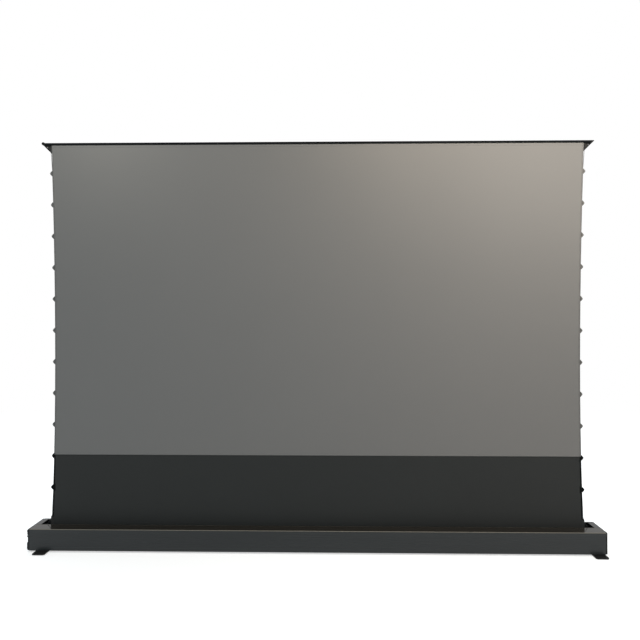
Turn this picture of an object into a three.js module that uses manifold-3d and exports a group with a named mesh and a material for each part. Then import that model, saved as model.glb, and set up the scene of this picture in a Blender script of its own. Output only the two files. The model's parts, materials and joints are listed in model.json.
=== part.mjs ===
// Floor-standing pull up projection screen with a motorised roller, two folding
// spring arms behind the fabric and a lid that closes the housing.
// Millimetres. X runs along the screen, Y from the viewer to the back, Z up.
// The origin is on the floor, under the middle of the housing. The screen is raised.

import * as THREE from 'three';
import { mergeVertices } from 'three/addons/utils/BufferGeometryUtils.js';
import Module from 'manifold-3d';

const wasm = await Module();
wasm.setup();

// Housing: four long extrusions between two end caps
const housingLength = 2440;
const housingHeight = 91;
const housingWall = 2;
const housingFlange = 10;
const frontEdgeBevel = 1.6;
const slotSetback = 62;
const rearLipWidth = 10;
const slotEndInset = 27;
const slotRimHeight = 6;
const rimGrooveInset = 4;
const rimGrooveWidth = 1.2;
const rimGrooveDepth = 0.8;
const bayRibHeight = 5;
const endCapThickness = 6;
const endCapChamfer = 3;

// Feet: four plates that swing out on shoulder bolts
const padThickness = 2;
const padLength = 34;
const padInset = 5;
const footThickness = 4;
const footWidth = 54;
const footReach = 72;
const footCornerRadius = 9;
const footPivotSetback = 35;
const leftFootInset = 60;
const rightFootInset = 34;
const footBoltRadius = 4;
const footBoltHeadRadius = 8;
const footBoltHeadHeight = 1.8;
const footBoltHeadRecess = 0.4;
const footWasherRadius = 11;
const footWasherThickness = 1;
const footWasherPlay = 0.2;
const footNutRadius = 7;
const footNutHeight = 4;
const footBoltEnd = 2;

// Screen surface
const visibleHeight = 1647;
const fabricThickness = 0.5;
const bottomNarrowing = 1;
const waistInset = 16;
const waistShare = 0.43;
const seamHeight = 303;
const edgeSteps = 3;
const tabCount = 11;
const tabHeight = 30;
const tabReach = 12;
const tabTipShare = 0.42;
const firstTabDrop = 122;
const lastTabRise = 161;
const seamTabGap = 0.4;

// Tension cords, one along each edge
const cordDiameter = 2.4;
const cordEdgeOffset = 2.2;
const cordGap = 0.35;
const cordSides = 8;
const cordSteps = 44;
const cordFlareWidth = 22;
const cordFlareHeight = 27;
const cordAnchorOffset = 6;
const cordAnchorDrop = 2;

// Top rail, which is also the lid of the slot
const railHeight = 10;
const railWall = 1.8;
const lidSideGap = 2;
const lidEndGap = 2;
const keeperGap = 0.2;
const railEndThickness = 13;
const railEndLip = 3;
const railTongueThickness = 3;
const railTongueMargin = 7;
const gussetSize = 37;
const gussetThickness = 4;
const gussetRim = 2.4;
const gussetWebShare = 0.4;
const bumperRadius = 6.5;
const bumperRise = 4;
const bumperInset = 6.4;
const bumperDepth = 12;

// Folding arms: two elbow arms, four equal links
const raisedAngle = THREE.MathUtils.degToRad(64.65);
const armPivotInset = 170;
const armHeight = 30;
const armWidth = 22;
const armWall = 2;
const armChamfer = 3;
const armPlaneGap = 6;
const basePivotHeight = 19;
const topPivotDrop = 28;
const eyeRadius = 13;
const eyeNeck = 32;
const kneeRadius = 18;
const kneeNeck = 38;
const plugLength = 40;
const pinRadius = 5;
const kneePinRadius = 6;
const pinHeadThickness = 1.5;
const pinHeadLip = 3;
const kneeSpacerLip = 4;
const pinPlay = 0.3;
const sideGap = 1;
const forkPlate = 3;
const clevisSetback = 3.5;
const clevisLength = 50;
const clevisEar = 14;
const bracketFoot = 3;
const bracketLength = 54;
const springRadius = 7;
const springRodRadius = 3;
const springBodyShare = 0.6;

// Roller, motor and their brackets
const rollerRadius = 25;
const rollerWall = 2;
const rollerAxisHeight = 43;
const cordLaneWidth = 27;
const wrapThickness = 0.9;
const wrapGap = 0.2;
const runningGap = 0.3;
const motorRadius = 19;
const motorLength = 510;
const motorCrownLength = 18;
const driveWheelLength = 22;
const driveWheelLobes = 6;
const driveWheelNotch = 3;
const motorBracketSize = 44;
const bracketThickness = 4;
const idlerPlugLength = 24;
const idlerAxleRadius = 5;
const idlerBracketSize = 30;
const idlerCupRadius = 10;
const idlerCupLength = 13;
const idlerAxleShare = 0.7;

// Control box between the folded knees
const controlLength = 160;
const controlHeight = 34;
const controlChamfer = 4;
const controlSetback = 4;
const controlEar = 8;
const controlEarThickness = 3;

// Switch, mains inlet and indicator on the left end cap
const switchHeight = 21;
const switchWidth = 15;
const switchFlange = 3.5;
const switchBodyDepth = 18;
const switchRim = 1.8;
const switchEdgeInset = 3;
const switchTopInset = 4;
const rockerWall = 1.2;
const rockerCrest = 6.5;
const rockerValley = 4.4;
const rockerPivotOut = 1;
const rockerTilt = THREE.MathUtils.degToRad(9);
const rockerDepth = 6;
const rockerBaseShare = 0.64;
const inletHeight = 30;
const inletWidth = 22;
const inletFlange = 5.5;
const inletRim = 1.7;
const inletWall = 1.3;
const inletDepth = 19;
const inletCavityDepth = 16;
const inletChamfer = 4;
const inletEdgeInset = 3.5;
const inletBottomInset = 3;
const bladeLength = 11;
const bladeWidth = 4;
const bladeThickness = 2;
const bladeSpacing = 7;
const bladeOffset = 2;
const indicatorRadius = 3.5;
const indicatorRise = 5;
const indicatorInset = 3;
const indicatorGap = 3.5;
const cutGap = 0.3;

const overrun = 1;
const weldTolerance = 1e-4;
const roundSteps = 10;
const smallSteps = 12;
const arcSteps = 8;
const rollerSteps = 32;

// Levels and places that follow from the sizes above
const housingBase = padThickness + footThickness + footWasherThickness;
const housingTop = housingBase + housingHeight;
const armStack = 2 * (forkPlate + sideGap + armWidth) + armPlaneGap;
const slotWidth = 2 * lidSideGap + railWall + keeperGap + fabricThickness + clevisSetback + armStack;
const housingDepth = slotSetback + slotWidth + rearLipWidth;
const floorTop = housingBase + housingWall;
const coverUnderside = housingTop - housingWall;
const frontY = -housingDepth / 2;
const rearY = housingDepth / 2;
const slotFrontY = frontY + slotSetback;
const slotRearY = rearY - rearLipWidth;
const slotHalf = housingLength / 2 - slotEndInset;
const panelHalf = housingLength / 2 - endCapThickness;

const railUnderside = housingTop + visibleHeight;
const railTop = railUnderside + railHeight;
const railWebUnderside = railTop - railWall;
const railFrontY = slotFrontY + lidSideGap;
const railRearY = slotRearY - lidSideGap;
const railHalf = slotHalf - lidEndGap;
const railEndSlope = railHeight - railEndLip;
const topHalfWidth = railHalf - railEndSlope - gussetSize;
const bottomHalfWidth = topHalfWidth - bottomNarrowing;
const fabricFrontY = railFrontY + railWall + keeperGap;
const fabricBackY = fabricFrontY + fabricThickness;
const keeperFrontY = fabricBackY + keeperGap;
const keeperBackY = keeperFrontY + railWall;
const seamZ = housingTop + seamHeight;
const waistZ = housingTop + visibleHeight * waistShare;
const tabPitch = (visibleHeight - firstTabDrop - lastTabRise) / (tabCount - 1);

const armPivotX = housingLength / 2 - armPivotInset;
const basePivotZ = floorTop + basePivotHeight;
const topPivotZ = railTop - topPivotDrop;
const armLink = (topPivotZ - basePivotZ) / (2 * Math.sin(raisedAngle));
const kneeX = armPivotX - armLink * Math.cos(raisedAngle);
const kneeZ = (basePivotZ + topPivotZ) / 2;
const clevisFrontY = fabricBackY + clevisSetback;
const upperArmFrontY = clevisFrontY + forkPlate + sideGap;
const upperArmY = upperArmFrontY + armWidth / 2;
const clevisRearY = upperArmFrontY + armWidth + sideGap + forkPlate;
const lowerArmFrontY = upperArmFrontY + armWidth + armPlaneGap;
const lowerArmY = lowerArmFrontY + armWidth / 2;
const baseForkFrontY = lowerArmFrontY - sideGap - forkPlate;
const baseForkRearY = lowerArmFrontY + armWidth + sideGap + forkPlate;
const controlDepth = 2 * armWidth + armPlaneGap - controlSetback;

const wrapRadius = rollerRadius + wrapGap + wrapThickness;
const rollerY = fabricFrontY - runningGap - wrapRadius;
const rollerZ = housingBase + rollerAxisHeight;
const rollerHalf = bottomHalfWidth + cordLaneWidth;
const rollerBore = rollerRadius - rollerWall;

// Geometry helpers

function weld(geometry) {
  const bare = new THREE.BufferGeometry();
  bare.setAttribute('position', geometry.getAttribute('position').clone());
  if (geometry.index) bare.setIndex(geometry.index.clone());
  const merged = mergeVertices(bare, weldTolerance);
  const source = merged.index.array;
  const kept = [];
  for (let i = 0; i < source.length; i += 3) {
    const [a, b, c] = [source[i], source[i + 1], source[i + 2]];
    if (a !== b && b !== c && c !== a) kept.push(a, b, c);
  }
  merged.setIndex(kept);
  if (signedVolume(merged) < 0) turnInsideOut(merged);
  return merged;
}

function signedVolume(geometry) {
  const position = geometry.getAttribute('position');
  const index = geometry.index.array;
  const corners = [new THREE.Vector3(), new THREE.Vector3(), new THREE.Vector3()];
  let total = 0;
  for (let i = 0; i < index.length; i += 3) {
    corners.forEach((corner, k) => corner.fromBufferAttribute(position, index[i + k]));
    total += corners[0].dot(corners[1].clone().cross(corners[2]));
  }
  return total;
}

function turnInsideOut(geometry) {
  const index = geometry.index.array;
  for (let i = 0; i < index.length; i += 3) {
    [index[i + 1], index[i + 2]] = [index[i + 2], index[i + 1]];
  }
}

function toSolid(geometry) {
  const welded = weld(geometry);
  return new wasm.Manifold(new wasm.Mesh({
    numProp: 3,
    vertProperties: new Float32Array(welded.getAttribute('position').array),
    triVerts: new Uint32Array(welded.index.array),
  }));
}

function toGeometry(solid) {
  const mesh = solid.getMesh();
  const geometry = new THREE.BufferGeometry();
  geometry.setAttribute('position', new THREE.BufferAttribute(mesh.vertProperties, mesh.numProp));
  geometry.setIndex(new THREE.BufferAttribute(mesh.triVerts, 1));
  return geometry;
}

function join(...geometries) {
  return toGeometry(geometries.map(toSolid).reduce((whole, next) => whole.add(next)));
}

function cut(body, ...tools) {
  return toGeometry(tools.map(toSolid).reduce((whole, next) => whole.subtract(next), toSolid(body)));
}

function outline(points) {
  return new THREE.Shape(points.map(([u, v]) => new THREE.Vector2(u, v)));
}

function rectangle(uLow, vLow, uHigh, vHigh) {
  return outline([[uLow, vLow], [uHigh, vLow], [uHigh, vHigh], [uLow, vHigh]]);
}

function chamferedPoints(width, height, chamfer) {
  const u = width / 2;
  const v = height / 2;
  return [
    [u - chamfer, -v], [u, -v + chamfer], [u, v - chamfer], [u - chamfer, v],
    [-u + chamfer, v], [-u, v - chamfer], [-u, -v + chamfer], [-u + chamfer, -v],
  ];
}

function addHole(shape, points) {
  shape.holes.push(new THREE.Path(points.map(([u, v]) => new THREE.Vector2(u, v))));
  return shape;
}

function addRoundHole(shape, u, v, radius) {
  const hole = new THREE.Path();
  hole.absarc(u, v, radius, 0, 2 * Math.PI, true);
  shape.holes.push(hole);
  return shape;
}

function disc(radius, u = 0, v = 0) {
  const shape = new THREE.Shape();
  shape.absarc(u, v, radius, 0, 2 * Math.PI, false);
  return shape;
}

// A shape drawn in Y and Z, run along X
function alongX(shape, xLow, xHigh, curveSegments = arcSteps) {
  const depth = xHigh - xLow;
  const geometry = new THREE.ExtrudeGeometry(shape, { depth, bevelEnabled: false, curveSegments });
  const turn = new THREE.Matrix4().makeBasis(
    new THREE.Vector3(0, 1, 0), new THREE.Vector3(0, 0, 1), new THREE.Vector3(1, 0, 0));
  return geometry.applyMatrix4(turn).translate(xLow, 0, 0);
}

// A shape drawn in X and Z, run along Y
function alongY(shape, yLow, yHigh, curveSegments = arcSteps) {
  const depth = yHigh - yLow;
  const geometry = new THREE.ExtrudeGeometry(shape, { depth, bevelEnabled: false, curveSegments });
  const turn = new THREE.Matrix4().makeBasis(
    new THREE.Vector3(1, 0, 0), new THREE.Vector3(0, 0, 1), new THREE.Vector3(0, -1, 0));
  return geometry.applyMatrix4(turn).translate(0, yHigh, 0);
}

// A shape drawn in X and Y, run along Z
function alongZ(shape, zLow, zHigh, curveSegments = arcSteps) {
  const depth = zHigh - zLow;
  const geometry = new THREE.ExtrudeGeometry(shape, { depth, bevelEnabled: false, curveSegments });
  return geometry.translate(0, 0, zLow);
}

// A profile of [radius, height] pairs turned about the Y axis
function turned(profile, steps) {
  return weld(new THREE.LatheGeometry(profile.map(([r, h]) => new THREE.Vector2(r, h)), steps));
}

function turnedAlongX(profile, steps) {
  return turned(profile, steps).rotateZ(-Math.PI / 2);
}

function turnedAlongZ(profile, steps) {
  return turned(profile, steps).rotateX(Math.PI / 2);
}

// Stepped shaft from a list of [end height, radius] steps, starting at a height
function steppedProfile(start, steps) {
  const profile = [[0, start]];
  let height = start;
  for (const [end, radius] of steps) {
    profile.push([radius, height], [radius, end]);
    height = end;
  }
  profile.push([0, height]);
  return profile;
}

// Materials

function finish(color, roughness, metalness) {
  return () => new THREE.MeshStandardMaterial({ color, roughness, metalness });
}

const satinBlack = finish(0x3a3f40, 0.42, 0.35);
const anodisedBlack = finish(0x1c1c1d, 0.45, 0.5);
const armBlack = finish(0x1a1b1c, 0.5, 0.4);
const castGrey = finish(0x4a4c4e, 0.55, 0.6);
const steel = finish(0x9a9c9e, 0.3, 0.9);
const blackPlastic = finish(0x141516, 0.55, 0.0);
const rubber = finish(0x0e0e0e, 0.85, 0.0);
const zinc = finish(0x8d9093, 0.4, 0.8);
const screenGrey = finish(0x777874, 0.85, 0.0);
const dropBlack = finish(0x2a2c2c, 0.85, 0.0);
const tubeAluminium = finish(0xa6a8aa, 0.35, 0.85);

const screen = new THREE.Group();

function place(name, geometry, material, parent = screen, position = [0, 0, 0]) {
  const mesh = new THREE.Mesh(weld(geometry), material());
  mesh.name = name;
  mesh.position.set(...position);
  parent.add(mesh);
  return mesh;
}

// Housing

function buildFloorPanel() {
  const shape = rectangle(-panelHalf, frontY + housingWall, panelHalf, rearY - housingWall);
  for (const [x, y] of footPivots()) addRoundHole(shape, x, y, footBoltRadius + pinPlay);
  const plate = alongZ(shape, 0, housingWall);
  const ribFront = clevisFrontY - housingWall;
  const rib = alongX(
    rectangle(ribFront, housingWall / 2, clevisFrontY, housingWall + bayRibHeight), -panelHalf, panelHalf);
  place('floor_panel', join(plate, rib), satinBlack, screen, [0, 0, housingBase]);
}

function buildFrontPanel() {
  const top = housingHeight - housingWall;
  const profile = outline([
    [0, 0], [housingWall, 0], [housingWall, housingWall], [housingFlange, housingWall],
    [housingFlange, 2 * housingWall], [housingWall, 2 * housingWall], [housingWall, top - housingWall],
    [housingFlange, top - housingWall], [housingFlange, top], [0, top],
  ]);
  place('front_panel', alongX(profile, -panelHalf, panelHalf), satinBlack, screen, [0, frontY, housingBase]);
}

function buildRearPanel() {
  const profile = outline([
    [0, 0], [0, housingHeight], [-rearLipWidth, housingHeight], [-rearLipWidth, housingHeight - housingWall],
    [-housingWall, housingHeight - housingWall], [-housingWall, 2 * housingWall],
    [-housingFlange, 2 * housingWall], [-housingFlange, housingWall], [-housingWall, housingWall],
    [-housingWall, 0],
  ]);
  place('rear_panel', alongX(profile, -panelHalf, panelHalf), satinBlack, screen, [0, rearY, housingBase]);
}

function buildTopCover() {
  const grooveStart = slotSetback - rimGrooveInset;
  const grooveEnd = grooveStart + rimGrooveWidth;
  const profile = outline([
    [0, 0], [slotSetback - housingWall, 0], [slotSetback - housingWall, housingWall - slotRimHeight],
    [slotSetback, housingWall - slotRimHeight], [slotSetback, housingWall], [grooveEnd, housingWall],
    [grooveEnd, housingWall - rimGrooveDepth], [grooveStart, housingWall - rimGrooveDepth],
    [grooveStart, housingWall], [frontEdgeBevel, housingWall], [0, housingWall - frontEdgeBevel],
  ]);
  place('top_cover', alongX(profile, -panelHalf, panelHalf), satinBlack, screen, [0, frontY, coverUnderside]);
}

function endCapBlank() {
  const shape = outline([
    [frontY, endCapChamfer], [frontY + endCapChamfer, 0], [rearY - endCapChamfer, 0],
    [rearY, endCapChamfer], [rearY, housingHeight - endCapChamfer],
    [rearY - endCapChamfer, housingHeight], [frontY + endCapChamfer, housingHeight],
    [frontY, housingHeight - endCapChamfer],
  ]);
  const plate = alongX(shape, 0, endCapThickness);
  const deckLength = slotEndInset - endCapThickness;
  const deck = alongX(
    rectangle(slotFrontY, housingHeight - housingWall, slotRearY, housingHeight),
    -deckLength, endCapThickness / 2);
  return join(plate, deck);
}

function switchCentre() {
  return [frontY + switchEdgeInset + switchWidth / 2, housingHeight - switchTopInset - switchHeight / 2];
}

function inletCentre() {
  return [frontY + inletEdgeInset + inletWidth / 2, inletBottomInset + inletHeight / 2];
}

function centredRectangle([u, v], width, height) {
  return rectangle(u - width / 2, v - height / 2, u + width / 2, v + height / 2);
}

// Round eye that stands out of the left cap, under the switch
function indicatorBoss() {
  const boss = alongX(disc(indicatorRadius), -endCapThickness - indicatorRise, -endCapThickness / 2);
  const y = frontY + indicatorInset + indicatorRadius;
  const z = switchCentre()[1] - switchHeight / 2 - indicatorGap - indicatorRadius;
  return boss.translate(0, y, z);
}

function buildEndCaps() {
  const rightCap = endCapBlank();
  const leftCap = weld(endCapBlank().scale(-1, 1, 1));
  const switchHole = centredRectangle(
    switchCentre(), switchWidth - 2 * switchRim + 2 * cutGap, switchHeight - 2 * switchRim + 2 * cutGap);
  const inletHole = centredRectangle(
    inletCentre(), inletWidth - 2 * inletRim + 2 * cutGap, inletHeight - 2 * inletRim + 2 * cutGap);
  const reach = [-endCapThickness - overrun, overrun];
  const openCap = cut(leftCap, alongX(switchHole, ...reach), alongX(inletHole, ...reach));
  place('left_end_cap', join(openCap, indicatorBoss()), satinBlack, screen, [-panelHalf, 0, housingBase]);
  place('right_end_cap', rightCap, satinBlack, screen, [panelHalf, 0, housingBase]);
}

function buildSwitch() {
  const flange = alongX(centredRectangle([0, 0], switchWidth, switchHeight), -switchFlange, 0);
  const bodyWidth = switchWidth - 2 * switchRim;
  const bodyHeight = switchHeight - 2 * switchRim;
  const body = alongX(centredRectangle([0, 0], bodyWidth, bodyHeight), -switchFlange / 2, switchBodyDepth);
  const pocketWidth = bodyWidth - 2 * rockerWall;
  const pocketHeight = bodyHeight - 2 * rockerWall;
  const pocketEnd = switchBodyDepth - switchFlange;
  const pocketShape = centredRectangle([0, 0], pocketWidth, pocketHeight);
  const pocket = alongX(pocketShape, -switchFlange - overrun, pocketEnd);
  const [y, z] = switchCentre();
  const capFace = [-housingLength / 2, y, housingBase + z];
  place('switch_bezel', cut(join(flange, body), pocket), blackPlastic, screen, capFace);

  const halfHeight = pocketHeight / 2 - 2 * cutGap;
  const baseHalf = halfHeight * rockerBaseShare;
  const profile = outline([
    [rockerDepth, -baseHalf], [rockerDepth, baseHalf], [0, halfHeight], [-rockerCrest, halfHeight],
    [-rockerValley, 0], [-rockerCrest, -halfHeight], [0, -halfHeight],
  ]);
  const halfWidth = pocketWidth / 2 - cutGap;
  const rocker = new THREE.Group();
  rocker.position.set(capFace[0] - rockerPivotOut, capFace[1], capFace[2]);
  rocker.rotation.y = -rockerTilt;
  screen.add(rocker);
  place('power_rocker', alongY(profile, -halfWidth, halfWidth), blackPlastic, rocker);
}

function inletSocketPoints(width, height, chamfer) {
  const u = width / 2;
  const v = height / 2;
  return [[-u, -v], [u - chamfer, -v], [u, -v + chamfer], [u, v - chamfer], [u - chamfer, v], [-u, v]];
}

function buildMainsInlet() {
  const flange = alongX(centredRectangle([0, 0], inletWidth, inletHeight), -inletFlange, 0);
  const bodyWidth = inletWidth - 2 * inletRim;
  const bodyHeight = inletHeight - 2 * inletRim;
  const bodyEnd = inletDepth - inletFlange;
  const body = alongX(centredRectangle([0, 0], bodyWidth, bodyHeight), -inletFlange / 2, bodyEnd);
  const [openWidth, openHeight] = [bodyWidth - 2 * inletWall, bodyHeight - 2 * inletWall];
  const cavity = outline(inletSocketPoints(openWidth, openHeight, inletChamfer));
  const cavityEnd = inletCavityDepth - inletFlange;
  const socket = cut(join(flange, body), alongX(cavity, -inletFlange - overrun, cavityEnd));
  const bladeCentres = [[-bladeOffset, -bladeSpacing], [-bladeOffset, bladeSpacing], [bladeOffset, 0]];
  const [bladeTip, bladeRoot] = [cavityEnd - bladeLength, cavityEnd + overrun];
  const blades = bladeCentres.map((centre) => (
    alongX(centredRectangle(centre, bladeWidth, bladeThickness), bladeTip, bladeRoot)));
  const [y, z] = inletCentre();
  const capFace = [-housingLength / 2, y, housingBase + z];
  place('mains_inlet', join(socket, ...blades), blackPlastic, screen, capFace);
}

// Feet

function footPivots() {
  const y = housingDepth / 2 - footPivotSetback;
  const left = -housingLength / 2 + leftFootInset;
  const right = housingLength / 2 - rightFootInset;
  return [[left, -y], [right, -y], [left, y], [right, y]];
}

function footOutline() {
  const half = footWidth / 2;
  const r = footCornerRadius;
  const shape = new THREE.Shape();
  shape.moveTo(-half, 0);
  shape.lineTo(-half, -footReach + r);
  shape.absarc(-half + r, -footReach + r, r, Math.PI, 1.5 * Math.PI, false);
  shape.lineTo(half - r, -footReach);
  shape.absarc(half - r, -footReach + r, r, 1.5 * Math.PI, 2 * Math.PI, false);
  shape.lineTo(half, 0);
  shape.absarc(0, 0, half, 0, Math.PI, false);
  return shape;
}

function buildFeet() {
  const names = ['front_left', 'front_right', 'rear_left', 'rear_right'];
  const headTop = padThickness + footBoltHeadRecess + footBoltHeadHeight;
  const plateTop = padThickness + footThickness;
  footPivots().forEach(([x, y], i) => {
    const foot = new THREE.Group();
    foot.position.set(x, y, 0);
    foot.rotation.z = y < 0 ? 0 : Math.PI;
    screen.add(foot);
    const blank = alongZ(addRoundHole(footOutline(), 0, 0, footBoltRadius + pinPlay), padThickness, plateTop);
    const sinkDepth = footBoltHeadRecess + footBoltHeadHeight + cutGap;
    const sink = alongZ(disc(footBoltHeadRadius + pinPlay), padThickness - overrun, padThickness + sinkDepth);
    place(`${names[i]}_foot`, cut(blank, sink), satinBlack, foot);
    const padShape = outline(chamferedPoints(footWidth - 2 * padInset, padLength, padInset));
    place(`${names[i]}_foot_pad`, alongZ(padShape, 0, padThickness), rubber, foot,
      [0, -footReach + padInset + padLength / 2, 0]);
    const bolt = turnedAlongZ(steppedProfile(padThickness + footBoltHeadRecess, [
      [headTop, footBoltHeadRadius],
      [plateTop + footWasherPlay, footBoltRadius],
      [housingBase, footWasherRadius],
      [floorTop, footBoltRadius],
      [floorTop + footNutHeight, footNutRadius],
      [floorTop + footNutHeight + footBoltEnd, footBoltRadius],
    ]), smallSteps);
    place(`${names[i]}_foot_bolt`, bolt, zinc, screen, [x, y, 0]);
  });
}

// Screen surface and its tension cords

function fabricHalf(z) {
  if (z >= waistZ) {
    const rise = (z - waistZ) / (railUnderside - waistZ);
    return topHalfWidth - waistInset * (1 - rise * rise);
  }
  const fall = Math.min(1, (waistZ - z) / (waistZ - housingTop));
  const waistHalf = topHalfWidth - waistInset;
  return waistHalf + (bottomHalfWidth - waistHalf) * fall * fall;
}

function tabZ(i) {
  return railUnderside - firstTabDrop - i * tabPitch;
}

// Right edge between two levels, with the tabs centred between them. A tab that reaches
// past an end of the edge stands free of the neighbouring sheet there.
function fabricEdge(zLow, zHigh) {
  const points = [[fabricHalf(zLow), zLow]];
  const tip = tabHeight * tabTipShare / 2;
  const free = (z) => [fabricHalf(z) + seamTabGap, z];
  let level = zLow;
  const stepTo = (z) => {
    for (let k = 1; k < edgeSteps; k += 1) {
      const between = level + (z - level) * k / edgeSteps;
      points.push([fabricHalf(between), between]);
    }
    level = z;
  };
  for (let i = tabCount - 1; i >= 0; i -= 1) {
    const centre = tabZ(i);
    if (centre < zLow || centre >= zHigh) continue;
    const out = fabricHalf(centre) + tabReach;
    const bottom = centre - tabHeight / 2;
    const top = centre + tabHeight / 2;
    if (bottom > zLow) {
      stepTo(bottom);
      points.push([fabricHalf(bottom), bottom]);
    } else {
      points.push(free(zLow), free(bottom));
    }
    points.push([out, centre - tip], [out, centre + tip]);
    level = Math.min(top, zHigh);
    if (top > zHigh) {
      points.push(free(top), free(zHigh));
    } else {
      points.push([fabricHalf(top), top]);
    }
  }
  if (level < zHigh) stepTo(zHigh);
  points.push([fabricHalf(zHigh), zHigh]);
  return points;
}

function fabricSheet(zLow, zHigh) {
  const right = fabricEdge(zLow, zHigh);
  const left = right.map(([x, z]) => [-x, z]).reverse();
  return alongY(outline([...right, ...left]), fabricFrontY, fabricBackY);
}

function buildFabric() {
  const topEdge = railWebUnderside - keeperGap;
  place('screen_fabric', fabricSheet(seamZ, topEdge), screenGrey);
  place('black_drop', fabricSheet(rollerZ, seamZ), dropBlack);
}

function cordRoute() {
  const y = fabricBackY + cordGap + cordDiameter / 2;
  const points = [];
  const anchorZ = railUnderside - cordAnchorDrop;
  points.push(new THREE.Vector3(topHalfWidth + cordAnchorOffset, y, anchorZ));
  const last = housingTop + cordFlareHeight;
  for (let i = 0; i < tabCount; i += 1) {
    points.push(new THREE.Vector3(fabricHalf(tabZ(i)) + cordEdgeOffset, y, tabZ(i)));
  }
  points.push(new THREE.Vector3(bottomHalfWidth + cordEdgeOffset, y, last));
  points.push(new THREE.Vector3(bottomHalfWidth + cordFlareWidth, y, housingTop));
  const windY = rollerY + rollerRadius + runningGap + cordDiameter / 2;
  points.push(new THREE.Vector3(bottomHalfWidth + cordFlareWidth, windY, rollerZ));
  return points;
}

function buildCords() {
  const section = new THREE.Shape();
  for (let k = 0; k < cordSides; k += 1) {
    const angle = 2 * Math.PI * k / cordSides;
    const point = [Math.cos(angle) * cordDiameter / 2, Math.sin(angle) * cordDiameter / 2];
    if (k === 0) section.moveTo(...point);
    else section.lineTo(...point);
  }
  const route = new THREE.CatmullRomCurve3(cordRoute(), false, 'centripetal');
  const cord = weld(new THREE.ExtrudeGeometry(section, {
    steps: cordSteps, extrudePath: route, bevelEnabled: false,
  }));
  place('right_tension_cord', cord, blackPlastic);
  place('left_tension_cord', weld(cord.clone().scale(-1, 1, 1)), blackPlastic);
}

// Top rail and its ends

function buildTopRail() {
  const web = railHeight - railWall;
  const [front, rear] = [railFrontY, railRearY];
  const profile = outline([
    [front, 0], [front + railWall, 0], [front + railWall, web], [keeperFrontY, web], [keeperFrontY, 0],
    [keeperBackY, 0], [keeperBackY, web], [rear - railWall, web], [rear - railWall, 0], [rear, 0],
    [rear, railHeight], [front, railHeight],
  ]);
  const half = railHalf - railEndThickness;
  place('top_rail', alongX(profile, -half, half), anodisedBlack, screen, [0, 0, railUnderside]);
}

// Cap of the right end, with a tongue in the channel and a triangular gusset under it.
// Below a short upright lip, the cap's end face and the gusset's edge are one slope.
function railEnd() {
  const tip = railEndThickness - railEndSlope;
  const side = outline([
    [0, 0], [tip, 0], [railEndThickness, railEndSlope], [railEndThickness, railHeight], [0, railHeight],
  ]);
  const cap = alongY(side, railFrontY, railRearY);
  const web = railHeight - railWall;
  const gussetFront = fabricBackY + 2 * cordGap + cordDiameter;
  const tongue = alongX(
    rectangle(gussetFront, web - cutGap - railTongueThickness, railRearY - railWall - cutGap, web - cutGap),
    -gussetSize - railTongueMargin, railEndThickness / 2);
  const foot = tip - gussetSize;
  const rise = web - cutGap - railTongueThickness / 2;
  const triangle = outline([[foot, rise], [foot, -gussetSize], [tip, 0], [tip, rise]]);
  const slab = alongY(triangle, gussetFront, gussetFront + gussetThickness);
  const r = gussetRim;
  const recess = outline([
    [foot + r, -r], [foot + r, -gussetSize + r * (1 + Math.SQRT2)], [tip - r * (1 + Math.SQRT2), -r],
  ]);
  const webDepth = gussetThickness * gussetWebShare;
  const pocket = alongY(recess, gussetFront - overrun, gussetFront + gussetThickness - webDepth);
  return join(cap, tongue, cut(slab, pocket));
}

function buildRailEnds() {
  const x = railHalf - railEndThickness;
  const right = railEnd();
  place('right_rail_end', right, blackPlastic, screen, [x, 0, railUnderside]);
  const bumper = alongY(disc(bumperRadius), railFrontY, railFrontY + bumperDepth);
  bumper.translate(bumperInset - railEndThickness, 0, railHeight + bumperRise - bumperRadius);
  const left = join(weld(right.clone().scale(-1, 1, 1)), bumper);
  place('left_rail_end', left, blackPlastic, screen, [-x, 0, railUnderside]);
}

// Pin with a head at each end, along Y
function flangedPin(radius, yLow, yHigh, spacer) {
  const head = radius + pinHeadLip;
  const steps = [[yLow, head]];
  if (spacer) steps.push([spacer[0], radius], [spacer[1], radius + kneeSpacerLip]);
  steps.push([yHigh, radius], [yHigh + pinHeadThickness, head]);
  return turned(steppedProfile(yLow - pinHeadThickness, steps), smallSteps);
}

function earOutline(halfLength, rise, radius) {
  const shape = new THREE.Shape();
  shape.moveTo(-halfLength, rise);
  shape.lineTo(-radius, 0);
  shape.absarc(0, 0, radius, Math.PI, 2 * Math.PI, false);
  shape.lineTo(halfLength, rise);
  return addRoundHole(shape, 0, 0, pinRadius + pinPlay);
}

function buildClevises() {
  const rise = railWebUnderside - topPivotZ;
  const ear = () => earOutline(clevisLength / 2, rise, clevisEar);
  const frontEar = alongY(ear(), clevisFrontY, clevisFrontY + forkPlate, roundSteps);
  const rearEar = alongY(ear(), clevisRearY - forkPlate, clevisRearY, roundSteps);
  const saddle = alongY(
    rectangle(-clevisLength / 2, rise - housingWall, clevisLength / 2, rise), clevisFrontY, clevisRearY);
  const clevis = join(frontEar, rearEar, saddle);
  const pin = flangedPin(pinRadius, clevisFrontY, clevisRearY);
  for (const [side, sign] of [['left', -1], ['right', 1]]) {
    const at = [sign * armPivotX, 0, topPivotZ];
    place(`${side}_clevis`, clevis.clone(), armBlack, screen, at);
    place(`${side}_top_pin`, pin.clone(), steel, screen, at);
  }
}

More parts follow.
